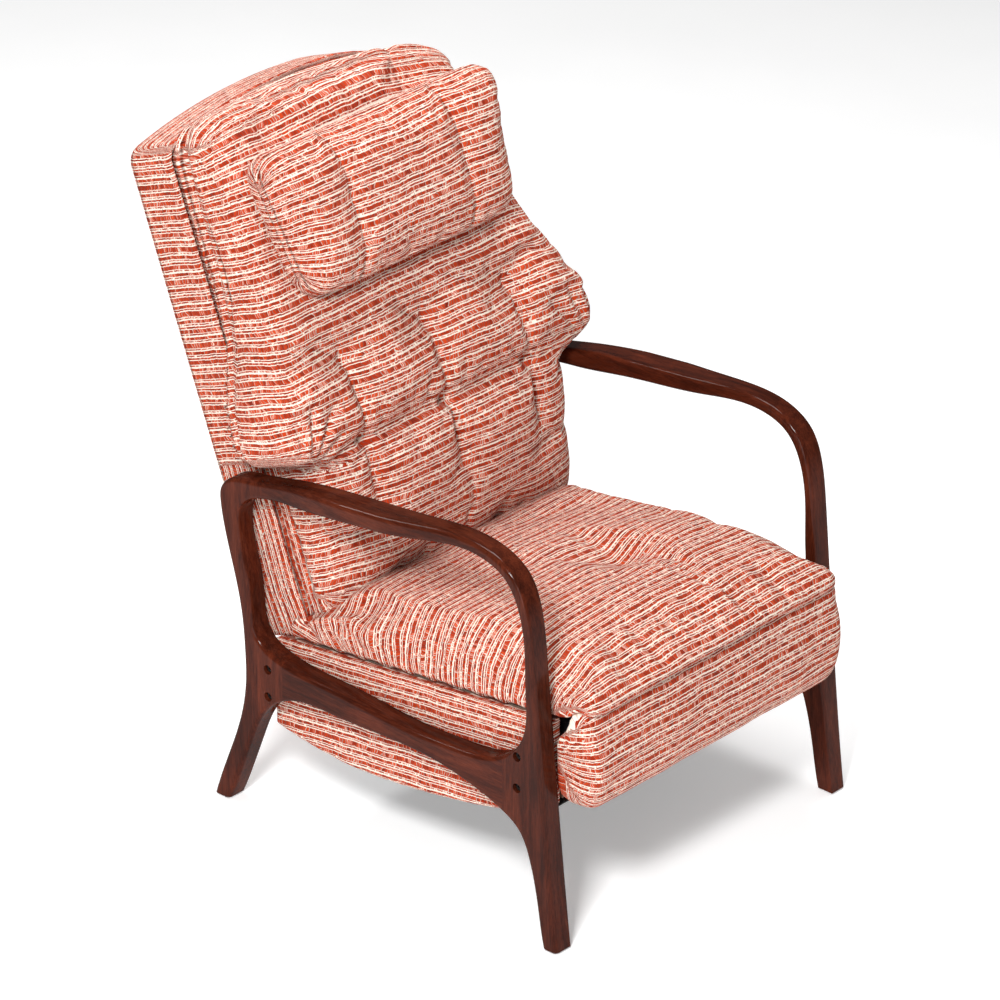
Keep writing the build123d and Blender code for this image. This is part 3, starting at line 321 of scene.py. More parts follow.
# Rows of one repeat of the weave: where each starts and its share of red yarn
stripeRows = [(0.000, 0.99), (0.135, 0.03), (0.168, 0.78), (0.212, 0.04), (0.236, 0.97), (0.330, 0.02),
              (0.385, 0.76), (0.430, 0.05), (0.452, 0.98), (0.575, 0.04), (0.602, 0.94), (0.662, 0.03),
              (0.696, 0.78), (0.742, 0.05), (0.764, 0.99), (0.866, 0.03), (0.904, 0.78), (0.948, 0.05),
              (0.970, 0.95)]


def makeFabric():
    f = Net("StripeFabric")
    run = f.attribute("run")
    warp = f.attribute("warp")
    seam = f.attribute("seam")
    wave = f.noise(f.vector(f.calc("MULTIPLY", warp, 0.010), f.calc("MULTIPLY", run, 0.006)), 1.0, 2)
    drift = f.calc("MULTIPLY", f.calc("SUBTRACT", wave, 0.5), 11.0)
    shift = f.noise(f.vector(f.calc("MULTIPLY", warp, 0.05), f.calc("MULTIPLY", run, 0.05)), 1.0, 2)
    across = f.calc("ADD", f.calc("DIVIDE", warp, columnWidth), f.calc("MULTIPLY", shift, 4.0))
    column = f.calc("FLOOR", across)
    within = f.calc("ABSOLUTE", f.calc("SUBTRACT", f.calc("FRACT", across), 0.5))
    ragged = f.node("ShaderNodeTexWhiteNoise", {"Vector": f.vector(column, 3.0)}, noise_dimensions="2D")
    lean = f.noise(f.vector(f.calc("MULTIPLY", warp, 0.10), f.calc("MULTIPLY", run, 0.05)), 1.0, 2)
    jitter = f.calc("ADD", f.calc("MULTIPLY", f.calc("SUBTRACT", ragged.outputs[0], 0.5), 0.6),
                    f.calc("MULTIPLY", f.calc("SUBTRACT", lean, 0.5), 1.2))
    place = f.calc("DIVIDE", f.calc("ADD", run, f.calc("ADD", drift, jitter)), weaveRepeat)
    part = f.calc("FRACT", place)
    density = f.ramp(part, [(a, grey(b)) for a, b in stripeRows], "CONSTANT")
    rowTone = f.ramp(part, [(a, grey((i * 0.37) % 1)) for i, (a, _) in enumerate(stripeRows)], "CONSTANT")
    rowSeed = f.calc("ADD", f.calc("MULTIPLY", rowTone, 61.0), f.calc("MULTIPLY", f.calc("FLOOR", place), 7.3))
    chance = f.node("ShaderNodeTexWhiteNoise", {"Vector": f.vector(column, rowSeed)}, noise_dimensions="2D")
    patch = f.noise(f.vector(f.calc("MULTIPLY", warp, 0.03), rowSeed), 1.0, 2)
    fine = f.noise(f.vector(f.calc("MULTIPLY", warp, 0.9), f.calc("MULTIPLY", run, 0.9)), 1.0, 2)
    level = f.calc("ADD", density, f.calc("MULTIPLY", f.calc("SUBTRACT", patch, 0.5), 0.4))
    chanced = f.calc("MULTIPLY", chance.outputs[0], 0.55)
    soft = f.calc("MULTIPLY", f.calc("SUBTRACT", fine, 0.5), 0.35)
    side = f.calc("MULTIPLY", f.calc("SUBTRACT", within, 0.25), 1.1)
    red = f.between(f.calc("ADD", f.calc("SUBTRACT", level, chanced), f.calc("ADD", soft, side)), 0.13, 0.32)
    parting = f.between(within, 0.33, 0.45)
    nextColumn = f.calc("FLOOR", f.calc("ADD", across, 0.5))
    pale = f.node("ShaderNodeTexWhiteNoise", {"Vector": f.vector(nextColumn, rowSeed)}, noise_dimensions="2D")
    parting = f.calc("MULTIPLY", parting, f.between(pale.outputs[0], 0.30, 0.95, 0.06, 0.80))
    red = f.calc("MULTIPLY", red, f.calc("SUBTRACT", 1.0, parting))
    slub = f.noise(f.vector(f.calc("MULTIPLY", warp, 0.05), rowSeed), 1.0, 3)
    tone = f.calc("ADD", f.calc("MULTIPLY", slub, 0.5), f.calc("MULTIPLY", chance.outputs[0], 0.5))
    redColor = f.ramp(tone, [(0.15, (0.20, 0.011, 0.003)), (0.42, (0.44, 0.036, 0.008)),
                             (0.70, (0.60, 0.066, 0.016)), (0.90, (0.72, 0.120, 0.040))])
    gap = f.between(within, 0.20, 0.49, 1.0, 0.55)
    redColor = f.mix(1.0, redColor, f.shade(gap), "MULTIPLY")
    creamColor = f.ramp(fine, [(0.15, (0.60, 0.42, 0.32)), (0.45, (0.90, 0.77, 0.65)), (0.8, (0.99, 0.90, 0.81))])
    creamGap = f.between(within, 0.42, 0.50, 1.0, 0.80)
    creamColor = f.mix(1.0, creamColor, f.shade(creamGap), "MULTIPLY")
    color = f.mix(red, creamColor, redColor)
    fuzz = f.noise(f.vector(f.calc("MULTIPLY", warp, 1.4), f.calc("MULTIPLY", run, 1.4)), 1.0, 3, 0.6)
    color = f.mix(1.0, color, f.shade(f.calc("ADD", 0.80, f.calc("MULTIPLY", fuzz, 0.36))), "MULTIPLY")
    # painted shade: the weave colour is darkened near seams and creases, where shade falls
    color = f.mix(1.0, color, f.shade(f.between(seam, 0.4, 3.4, 0.36, 1.0)), "MULTIPLY")
    picks = f.calc("MULTIPLY", f.calc("SINE", f.calc("MULTIPLY", run, 2.9)), 0.2)
    knots = f.calc("MULTIPLY", f.between(within, 0.30, 0.5, 1.0, 0.0), 0.5)
    height = f.calc("ADD", f.calc("MULTIPLY", red, 0.8), f.calc("ADD", picks, f.calc("MULTIPLY", fuzz, 0.8)))
    height = f.calc("ADD", height, knots)
    f.set(Base_Color=color, Roughness=0.93, Sheen_Weight=0.05, Sheen_Roughness=0.5, Sheen_Tint=(1.0, 0.55, 0.42, 1),
          Specular_IOR_Level=0.05, Normal=f.bump(height, 0.7, 0.0016))
    return f.material


def makeShowWood(name, stretch):
    f = Net(name)
    place = f.node("ShaderNodeTexCoord").outputs["Object"]
    moved = f.node("ShaderNodeMapping", {"Vector": place, "Scale": stretch}).outputs[0]
    bands = f.noise(moved, 9.0, 5, 0.6, 0.6)
    fine = f.noise(moved, 70.0, 4, 0.65)
    broad = f.noise(place, 6.0, 2)
    tone = f.calc("ADD", f.calc("MULTIPLY", bands, 0.6), f.calc("MULTIPLY", fine, 0.4))
    color = f.ramp(tone, [(0.28, (0.014, 0.0024, 0.0010)), (0.45, (0.038, 0.0066, 0.0026)),
                          (0.58, (0.070, 0.0128, 0.0050)), (0.75, (0.120, 0.0235, 0.0095))])
    lift = f.between(broad, 0.3, 0.7, 0.78, 1.2)
    color = f.mix(1.0, color, f.shade(lift), "MULTIPLY")
    rough = f.between(fine, 0.2, 0.8, 0.22, 0.33)
    f.set(Base_Color=color, Roughness=rough, Specular_IOR_Level=0.0, Coat_Weight=0.24, Coat_Roughness=0.12,
          Normal=f.bump(fine, 0.10, 0.0006))
    return f.material


def makePlainWood(name, low, high):
    f = Net(name)
    place = f.node("ShaderNodeTexCoord").outputs["Object"]
    moved = f.node("ShaderNodeMapping", {"Vector": place, "Scale": (1, 14, 14)}).outputs[0]
    grain = f.noise(moved, 6.0, 5, 0.6, 0.4)
    f.set(Base_Color=f.ramp(grain, [(0.3, low), (0.7, high)]), Roughness=0.62,
          Normal=f.bump(grain, 0.2, 0.001))
    return f.material


def makeMetal(name, color, rough, metallic):
    f = Net(name)
    place = f.node("ShaderNodeTexCoord").outputs["Object"]
    fine = f.noise(place, 900.0, 3)
    broad = f.noise(place, 40.0, 2)
    f.set(Base_Color=f.mix(f.between(broad, 0.3, 0.7), color, tuple(0.8 * c for c in color[:3]) + (1,)),
          Metallic=metallic, Roughness=f.between(fine, 0.2, 0.8, rough - 0.06, rough + 0.08),
          Normal=f.bump(fine, 0.08, 0.0003))
    return f.material


def makeCloth(name, low, high):
    f = Net(name)
    place = f.node("ShaderNodeTexCoord").outputs["Object"]
    across = f.node("ShaderNodeSeparateXYZ", {0: place})
    a = f.calc("SINE", f.calc("MULTIPLY", across.outputs[0], 2600.0))
    b = f.calc("SINE", f.calc("MULTIPLY", across.outputs[1], 2600.0))
    weave = f.calc("MULTIPLY", a, b)
    wear = f.noise(place, 60.0, 4)
    f.set(Base_Color=f.mix(f.between(wear, 0.3, 0.7), low, high), Roughness=0.9, Sheen_Weight=0.1,
          Normal=f.bump(f.calc("ADD", weave, wear), 0.4, 0.0006))
    return f.material


fabric = makeFabric()
armWood = makeShowWood("ArmWood", (7.0, 0.7, 7.0))
legWood = makeShowWood("LegWood", (7.0, 7.0, 0.7))
frameWood = makePlainWood("FrameWood", (0.11, 0.055, 0.028), (0.19, 0.10, 0.052))
# fabric over the seat boards, coloured as a darkened rust: painted shade of the cloth seen in shadow
boardShadedCloth = makeCloth("BoardLiningPaintedShade", (0.16, 0.026, 0.012, 1), (0.36, 0.11, 0.065, 1))
dowelWood = makePlainWood("DowelWood", (0.40, 0.26, 0.14), (0.55, 0.40, 0.24))
zinc = makeMetal("ZincSteel", (0.55, 0.55, 0.56, 1), 0.34, 1.0)
blackSteel = makeMetal("BlackSteel", (0.035, 0.035, 0.038, 1), 0.42, 0.4)
boltSteel = makeMetal("BoltSteel", (0.02, 0.018, 0.017, 1), 0.36, 0.6)
glidePlastic = makeMetal("GlidePlastic", (0.02, 0.02, 0.02, 1), 0.55, 0.0)
bushPlastic = makeMetal("BushPlastic", (0.75, 0.74, 0.70, 1), 0.45, 0.0)
webbing = makeCloth("Webbing", (0.10, 0.075, 0.05, 1), (0.17, 0.13, 0.09, 1))
dustCloth = makeCloth("DustCloth", (0.012, 0.012, 0.012, 1), (0.03, 0.03, 0.03, 1))

nodeLooks = {}
for side in ("left_", "right_"):
    for piece in ("armrest", "side_rail"):
        nodeLooks[side + piece] = armWood
    for piece in ("front_leg", "rear_leg"):
        nodeLooks[side + piece] = legWood
    nodeLooks[side + "seat_board"] = boardShadedCloth
    nodeLooks[side + "back_post"] = frameWood
    for piece in ("mech_plate", "hinge_arm", "back_bracket", "footrest_bracket", "drive_link"):
        nodeLooks[side + piece] = blackSteel
for piece in ("front_rail", "rear_rail", "back_lower_rail", "back_top_rail", "footrest_board"):
    nodeLooks[piece] = frameWood
for piece in ("joint_dowels", "back_dowels"):
    nodeLooks[piece] = dowelWood
for piece in ("bolt_nuts", "base_screws", "back_screws", "footrest_screws", "back_pivot_pins",
              "footrest_pivot_pins", "back_crank_pins", "footrest_crank_pins"):
    nodeLooks[piece] = zinc
for piece in ("seat_straps", "back_straps"):
    nodeLooks[piece] = webbing
nodeLooks["frame_bolts"] = boltSteel
nodeLooks["foot_glides"] = glidePlastic
nodeLooks["pivot_bushes"] = bushPlastic
nodeLooks["bottom_cover"] = dustCloth
for name, obj in nodes.items():
    if name in nodeLooks:
        obj.data.materials.clear()
        obj.data.materials.append(nodeLooks[name])
print("materials done")


def finishSoft(obj, node, body):
    shadeSmooth(obj)
    obj.data.materials.clear()
    obj.data.materials.append(fabric)
    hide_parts(node)
    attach(obj, body)
    print("soft piece", obj.name, len(obj.data.polygons), "faces")


def roundIn(x, half, radius):
    over = np.clip(np.abs(x) - (half - radius), 0, radius)
    return radius - np.sqrt(np.maximum(radius ** 2 - over ** 2, 0.0))


def resample(loop, count):
    closed = np.vstack([loop, loop[:1]])
    step = np.linalg.norm(np.diff(closed, axis=0), axis=1)
    total = np.concatenate([[0], np.cumsum(step)])
    spots = np.linspace(0, total[-1], count, endpoint=False)
    return np.stack([np.interp(spots, total, closed[:, k]) for k in range(closed.shape[1])], axis=1)


def fold(flat, start, end, depth, width):
    a = np.array(start, float)
    d = np.array(end, float) - a
    t = ((flat - a) @ d) / (d @ d)
    near = a + np.clip(t, 0, 1)[:, None] * d
    gap = np.linalg.norm(flat - near, axis=1)
    fade = np.sin(np.pi * np.clip(0.12 + 0.76 * t, 0, 1)) ** 0.8
    return depth * fade * np.exp(-(gap / width) ** 1.4)


def ripple(flat, length, height, phase=0.0):
    out = np.zeros(len(flat))
    for i in range(5):
        turn = 0.9 + 2.1 * i + phase
        size = length * (0.75 + 0.19 * i)
        wave = (flat[:, 0] * math.cos(turn) + flat[:, 1] * math.sin(turn)) * 2 * math.pi / size
        out += np.sin(wave + 1.7 * i + phase)
    return out * height / 3.0


def groove(obj, depth, width):
    values = np.empty(len(obj.data.vertices), np.float32)
    obj.data.attributes["seam"].data.foreach_get("value", values)
    points = getPoints(obj)
    setPoints(obj, points - getNormals(obj) * (depth * np.exp(-(values / width) ** 2))[:, None])


# Seat cushion, built of side outlines that shrink towards the two sides
seatTop = [(112, 350), (104, 361), (78, 374), (48, 394), (8, 409), (-32, 418), (-118, 435), (-202, 449),
           (-286, 457), (-369, 460), (-431, 454), (-468, 443), (-488, 428), (-497, 412), (-494, 402)]
seatLip = arcPoints(hingePivot, 21.2, 118, 20, 9)
seatEar = [(140, 311), (146, 324), (142, 340), (128, 354)]
seatSlices = np.concatenate([np.linspace(-seatHalf, -236, 18), np.linspace(-222, 222, 24),
                             np.linspace(236, seatHalf, 18)])
seatFolds = [((60, -240), (150, -205), 6, 24), ((64, -232), (-40, -300), 5, 28), ((58, -226), (-60, -150), 4, 34),
             ((-262, -392), (-150, -436), 5, 12), ((-250, -360), (-120, -395), 4, 16),
             ((262, -392), (150, -436), 5, 12), ((250, -360), (110, -400), 4, 16),
             ((-270, -300), (-190, -330), 3, 14), ((270, -260), (180, -300), 4, 18),
             ((-200, -60), (-60, -20), 5, 26), ((200, -40), (60, -10), 6, 26), ((240, -120), (200, -220), 5, 22)]


def seatLoop(x):
    drop = roundIn(x, seatHalf, 56) + 11 * (x / 298) ** 2
    back = roundIn(x, seatHalf, 34)
    top = np.array(seatTop, float)
    lowest = 308 + (140 - top[:, 0]) * 0.1203 + 14
    blend = np.clip((top[:, 0] + 486) / 60, 0.10, 1) * (1 - 0.94 * np.clip((top[:, 0] + 90) / 130, 0, 1))
    top[:, 1] = np.maximum(top[:, 1] - drop * blend, lowest)
    top[:, 0] += back * np.clip((-340 - top[:, 0]) / 130, 0, 1)
    lip = np.array(seatLip, float)
    keep = lip[:, 0] > top[-1, 0] + 4
    lip = lip[keep] if keep.sum() > 1 else lip[-2:]
    under = np.array([(-430, 381), (-300, 362), (-100, 338), (60, 319), (112, 313.5)], float)
    under[:, 1] += 1.2
    ear = np.array(seatEar if abs(x) > 275 else seatTop[:1], float)
    loop = resample(np.vstack([ear, smoothLine(top, 5), lip, under, ear[:1] - [3, 0.5]]), 260)
    return np.stack([np.full(len(loop), x), loop[:, 0], loop[:, 1]], axis=1)


def makeSeat():
    obj = skin("SeatCushion", [seatLoop(x) for x in seatSlices])
    remesh(obj, 0.006)
    relax(obj, 0.5, 5)
    points = getPoints(obj)
    line = smoothLine([(118, 318)] + seatTop + [(-486, 396), (-480, 380)], 8)
    paintStripes(obj, points[:, 1:], line, 20)
    base = 308 + (140 - points[:, 1]) * 0.1203
    store(obj, "seam", np.clip(np.hypot(points[:, 2] - base - 7, np.maximum(0, 292 - np.abs(points[:, 0]))), 0, 60))
    up = np.clip(getNormals(obj)[:, 2], 0, 1)
    flat = points[:, :2]
    dents = [((64, -232), 11, 40), ((-120, -150), 4, 70), ((170, -90), 5, 60), ((-60, 30), 6, 50)]
    for spot, depth, width in dents:
        d = np.linalg.norm(flat - spot, axis=1)
        points[:, 2] -= depth * np.exp(-(d / width) ** 2) * up
    setPoints(obj, points)
    low = np.clip((base + 26 - points[:, 2]) / 14, 0, 1)
    nose = np.clip((-462 - points[:, 1]) / 10, 0, 1) * np.clip((424 - points[:, 2]) / 12, 0, 1)
    knot = np.exp(-(np.linalg.norm(flat - (64, -232), axis=1) / 12) ** 2)
    puff(obj, np.maximum(np.maximum(low, nose), knot), 3.0, 0.035, 16, 16.0)
    points = getPoints(obj)
    up = np.clip(getNormals(obj)[:, 2], 0, 1)
    flat = points[:, :2]
    for start, end, depth, width in seatFolds:
        points[:, 2] -= fold(flat, start, end, depth, width) * up
    points[:, 2] += ripple(flat, 150, 1.6) * up
    points[:, 0] = np.clip(points[:, 0], -303, 303)
    setPoints(obj, points)
    relax(obj, 0.4, 1)
    subdivide(obj)
    groove(obj, 2.0, 4.0)
    finishSoft(obj, "seat_cushion", "base")
    return obj


padLoopPoints = (arcPoints(hingePivot, 20.0, 62, 200, 12)
                 + [(-494, 362), (-500, 340), (-503, 312), (-501, 280), (-495, 252), (-480, 234), (-456, 229.5),
                    (-436, 230), (-435.6, 260), (-435.6, 300), (-435.6, 345), (-444, 372)])


def padLoop(x):
    back = roundIn(x, padHalf, 26)
    rise = roundIn(x, padHalf, 40)
    shape = smoothLine(np.array(padLoopPoints, float), 5, True)
    shape[:, 0] += back * np.clip((-440 - shape[:, 0]) / 55, 0, 1)
    shape[:, 1] += rise * np.clip((300 - shape[:, 1]) / 70, 0, 1)
    shape[:, 0] += np.interp(abs(x), [288, 297], [0, 12]) * np.clip((shape[:, 0] + 441) / 5, 0, 1)
    shape = resample(shape, 150)
    return np.stack([np.full(len(shape), x), shape[:, 0], shape[:, 1]], axis=1)


def makePad():
    xs = np.concatenate([np.linspace(-padHalf, -256, 14), np.linspace(-240, 240, 24),
                         np.linspace(256, padHalf, 14)])
    obj = skin("FootrestPad", [padLoop(x) for x in xs])
    remesh(obj, 0.005)
    relax(obj, 0.5, 5)
    points = getPoints(obj)
    line = smoothLine([(-470, 405), (-484, 399), (-490, 385)] + padLoopPoints[12:20], 6)
    paintStripes(obj, points[:, 1:], line, 655)
    store(obj, "seam", np.full(len(points), float(seamReach)))
    front = np.clip(-getNormals(obj)[:, 1], 0, 1) * np.clip((372 - points[:, 2]) / 16, 0, 1)
    flat = points[:, [0, 2]]
    wrinkle = ripple(flat, 120, 1.8, 2.0)
    for start, end, depth, width in [((-285, 262), (-190, 300), 3, 9), ((-280, 320), (-215, 345), 3, 8),
                                     ((285, 262), (200, 296), 3, 9), ((280, 330), (190, 350), 3, 8)]:
        wrinkle = wrinkle - fold(flat, start, end, depth, width)
    points[:, 1] -= np.minimum(wrinkle, 2.5) * front
    setPoints(obj, points)
    subdivide(obj)
    finishSoft(obj, "footrest_pad", "footrest")
    return obj


# Back cushion: half widths and front crown along its rise
backRises = [75, 84, 100, 126, 172, 232, 287, 310, 320, 328, 336, 344, 366, 420, 470, 521, 622, 707, 773, 815,
             838, 852, 860]
backCrowns = [84, 98, 112, 130, 152, 176, 190, 190, 186, 182, 186, 192, 197, 192, 178, 162, 136, 127, 121, 117,
              110, 98, 74]
backHalves = [284, 288, 291, 292, 292, 292, 292, 292, 300, 322, 342, 352, 356, 349, 332, 312, 301, 299, 298, 295,
              288, 278, 262]
columns = (-190, 0, 190)
backFolds = [((-270, 314), (-190, 326), 9, 15), ((-215, 325), (15, 321), 11, 16), ((-15, 321), (215, 326), 11, 16),
             ((190, 326), (270, 314), 9, 15)]
for column in columns:
    backFolds += [((column, 475), (column + 2, 315), 11, 13), ((column + 1, 335), (column + 6, 215), 13, 12),
                  ((column, 452), (column - 42, 492), 5, 12), ((column, 452), (column + 44, 486), 5, 12),
                  ((column, 322), (column - 48, 352), 5, 10), ((column, 322), (column + 50, 350), 5, 10),
                  ((column, 322), (column - 40, 288), 5, 10), ((column, 322), (column + 44, 284), 5, 10)]
for side in (-1, 1):
    backFolds += [((side * 302, 334), (side * 252, 396), 12, 8), ((side * 316, 338), (side * 296, 410), 11, 8),
                  ((side * 334, 340), (side * 330, 396), 9, 7), ((side * 290, 330), (side * 228, 356), 9, 9),
                  ((side * 286, 316), (side * 236, 268), 5, 9), ((side * 290, 480), (side * 214, 500), 3, 16),
                  ((side * 150, 862), (side * 138, 790), 7, 9), ((side * 150, 862), (side * 176, 800), 5, 9),
                  ((side * 150, 862), (side * 108, 806), 4, 9), ((side * 240, 190), (side * 150, 168), 4, 14)]


def backLoop(rise, shrink):
    crown = np.interp(rise, backRises, backCrowns) - shrink
    half = np.interp(rise, backRises, backHalves) - 0.4 * shrink
    t = np.concatenate([np.linspace(-1, -0.8, 40), np.linspace(-0.79, 0.79, 70), np.linspace(0.8, 1, 40)])
    wing = np.interp(rise, [300, 330, 400, 500, 620], [0, 1, 1, 0.55, 0])
    sag = 0.09 - 0.18 * wing
    front = 57 + (crown - 57) * (1 - sag * t ** 2) * (1 - np.abs(t) ** (15 + 33 * wing)) ** 0.5
    rearLow = np.interp(rise, [521, 622, 707, 773, 834], [-19, -17, -10, 3, 26])
    s = np.clip(np.abs(t[::-1]) * half / 293, 0, 1)
    rim = np.interp(rise, [60, 858], [30.5, 24])
    rear = rim + (np.minimum(rearLow, rim) - rim) * (1 - s ** 2)
    rear = np.where(np.abs(t[::-1]) * half < 283, np.minimum(rear, 4 if rise < 830 else 12), rear)
    boxing = np.linspace(57, rim, 9)[1:-1]
    draw = np.interp(rise, [318, 352], [3, 5])
    depth = (57 - boxing) / (57 - rim)
    swell = -np.interp(rise, [318, 352], [2, 19]) * np.sin(np.pi * depth ** 0.9) - draw * depth
    pts = [(x, rise, n) for x, n in zip(half * t, front)]
    pts += [(half + a, rise, n) for n, a in zip(boxing, swell)]
    pts += [(x, rise, n) for x, n in zip((half - draw) * t[::-1], rear)]
    pts += [(-half - a, rise, n) for n, a in zip(boxing[::-1], swell[::-1])]
    local = np.array(pts)
    tuck = 6 * np.clip((34 - local[:, 2]) / 12, 0, 1) * np.clip((rise - 790) / 60, 0, 1)
    local[:, 1] += crest(local) - tuck
    return fromBack(local)


def crest(local):
    return 20 * (1 - (local[:, 0] / 290) ** 2) * np.clip((local[:, 1] - 700) / 160, 0, 1) ** 1.5


def droop(local):
    far = np.clip((local[:, 0] - 90) / 206, 0, 1) ** 1.6
    return farDroop * far * np.clip((local[:, 1] - 600) / 240, 0, 1) ** 1.3


def makeBack():
    shrink = 9
    rises = np.concatenate([np.linspace(75, 345, 60), np.linspace(350, 860, 90)])
    obj = skin("BackCushion", [backLoop(r, shrink) for r in rises])
    remesh(obj, 0.006)
    relax(obj, 0.5, 3)
    local = toBack(getPoints(obj))
    ends = [(862, 50), (861, 25), (860, -35)]
    profile = smoothLine([(75, 40), (75, 70)] + list(zip(backRises, backCrowns)) + ends, 10)
    even = local.copy()
    even[:, 1] -= crest(local)
    run, gap = alongLine(even[:, 1:], profile)
    steps = np.concatenate([[0], np.cumsum(np.linalg.norm(np.diff(profile, axis=0), axis=1))])
    rising = (profile[:, 0] > 100) & (profile[:, 0] < 835) & (steps > 20)
    middle = (even[:, 1] > 104) & (even[:, 1] < 830)
    run = np.where(middle, np.interp(even[:, 1], profile[rising, 0], steps[rising]), run)
    under = np.clip((-getNormals(obj) @ upAxis - 0.35) / 0.65, 0, 1) * (local[:, 1] > 300)
    run = run - gap * under
    half = np.interp(local[:, 1], backRises, backHalves)
    boxing = (local[:, 2] < 60) & (local[:, 1] < 320) & (np.abs(local[:, 0]) > 270)
    store(obj, "run", np.where(boxing, local[:, 2] + 300 - np.abs(local[:, 0]), run))
    store(obj, "warp", np.where(boxing, local[:, 1], local[:, 0] + np.sign(local[:, 0]) * np.minimum(gap, 400)))
    rim = np.minimum(np.abs(local[:, 2] - 58), np.abs(local[:, 2] - 30))
    rim = np.where((np.abs(local[:, 0]) > half - 22) | (local[:, 1] > 836), rim, 60)
    frontal = np.clip((local[:, 2] - 62) / 26, 0, 1)
    flat = local[:, :2]
    # deep creases join the seam distance: groove() sinks them and the fabric darkens them as painted shade
    for start, end, deep, width in backFolds:
        if deep > 8 and abs(start[0]) < 280:
            rim = np.minimum(rim, np.where(frontal > 0.5, toLine(flat, [start, end]) + 1.2, 60))
    store(obj, "seam", np.clip(rim, 0, seamReach))
    depth = np.zeros(len(local))
    for start, end, deep, width in backFolds:
        depth = np.maximum(depth, fold(flat, start, end, deep, width))
    for x in columns:
        for u, deep, width in ((322, 19, 22), (452, 16, 22)):
            depth = np.maximum(depth, deep * np.exp(-(np.hypot(flat[:, 0] - x, flat[:, 1] - u) / width) ** 1.3))
    local[:, 2] -= depth * frontal
    setPoints(obj, fromBack(local))
    rear = np.clip((54 - local[:, 2]) / 12, 0, 1)
    pins = np.maximum(rear, np.clip((depth - 1) / 11, 0, 1) * 0.85)
    puff(obj, pins, 4.0, 0.035, 18, 18.0)
    local = toBack(getPoints(obj))
    frontal = np.clip((local[:, 2] - 62) / 26, 0, 1)
    for start, end, deep, width in backFolds:
        local[:, 2] -= 0.55 * fold(local[:, :2], start, end, deep, 0.6 * width) * frontal
    local[:, 2] += ripple(local[:, :2], 130, 1.6, 1.0) * frontal
    limit = np.interp(local[:, 1], [300, 318, 330, 344], [298, 300, 336, 358])
    swell = 12 * np.clip((np.abs(local[:, 0]) - 240) / 80, 0, 1)
    local[:, 0] = np.clip(local[:, 0], -limit, limit)
    local[:, 2] = np.minimum(local[:, 2], np.interp(local[:, 1], backRises, backCrowns) + 9 + swell)
    local[:, 1] -= droop(local) + 14 * np.clip((130 - local[:, 1]) / 55, 0, 1)
    setPoints(obj, fromBack(local))
    relax(obj, 0.35, 1)
    subdivide(obj)
    groove(obj, 3.5, 4.0)
    finishSoft(obj, "back_cushion", "back")
    return obj


pillowX, pillowRise = -14, 686


def makePillow():
    loops = []
    shrink = 5
    for t in np.sin(np.linspace(-math.pi / 2, math.pi / 2, 44)):
        rise = pillowRise + (122.5 - 0.4 * shrink) * t
        half = (249 + 21 * t - 0.4 * shrink) * (1 - 0.12 * abs(t) ** 12)
        s = np.linspace(-1, 1, 81)
        body = max(0.08, (1 - abs(t) ** 5)) ** 0.5
        edge = np.maximum(0.0, 1 - np.abs(s) ** 14) ** 0.5
        front = 188 + (55 - shrink) * body * edge * (1 - 0.07 * s ** 2)
        rear = 180 - (47 - 0.5 * shrink) * body * edge[::-1]
        pts = [(half * a + pillowX, rise, n) for a, n in zip(s, front)]
        pts += [(half * a + pillowX, rise, n) for a, n in zip(s[::-1], rear)]
        loops.append(fromBack(np.array(pts)))
    obj = skin("HeadPillow", loops)
    remesh(obj, 0.005)
    relax(obj, 0.5, 4)
    local = toBack(getPoints(obj))
    line = smoothLine([(564, 170), (564, 190), (583, 222), (628, 238), (686, 243), (744, 238), (789, 222),
                       (808, 190), (808, 170)], 8)
    paintStripes(obj, np.stack([local[:, 1], 184 + np.abs(local[:, 2] - 184)], axis=1), line, 31)
    facing = local[:, 2] > 186
    seam = np.full(len(local), float(seamReach))
    for x in (pillowX - 125, pillowX + 125):
        seam = np.minimum(seam, np.where(facing, np.abs(local[:, 0] - x), 60))
    seam = np.minimum(seam, np.minimum(np.abs(local[:, 2] - 192), np.abs(local[:, 2] - 178)))
    store(obj, "seam", seam)
    pins = np.exp(-(seam / 6) ** 2) * 0.95
    pins = np.maximum(pins, np.clip((150 - local[:, 2]) / 8, 0, 1))
    puff(obj, pins, 3.5, 0.03, 16, 9.0)
    local = toBack(getPoints(obj))
    frontal = np.clip((local[:, 2] - 190) / 20, 0, 1)
    flat = local[:, :2]
    for x in (pillowX - 125, pillowX + 125):
        local[:, 2] -= 5 * valley(np.abs(local[:, 0] - x), 8) * frontal
        for start, end, deep, width in [((x, 808), (x, 748), 8, 8), ((x, 808), (x - 34, 760), 6, 8),
                                        ((x, 808), (x + 36, 764), 6, 8), ((x, 564), (x, 610), 4, 8)]:
            local[:, 2] -= fold(flat, start, end, deep, width) * frontal
    local[:, 2] += ripple(flat, 110, 1.2, 3.0) * frontal
    local[:, 2] = np.clip(local[:, 2], 128, 249)
    setPoints(obj, fromBack(local))
    relax(obj, 0.35, 1)
    subdivide(obj)
    groove(obj, 2.0, 2.6)
    finishSoft(obj, "head_pillow", "back")
    return obj


def copyNode(node, name, size):
    source = nodes[node]
    obj = bpy.data.objects.new(name, source.data.copy())
    scene.collection.objects.link(obj)
    obj.matrix_world = source.matrix_world
    remesh(obj, size)
    return obj


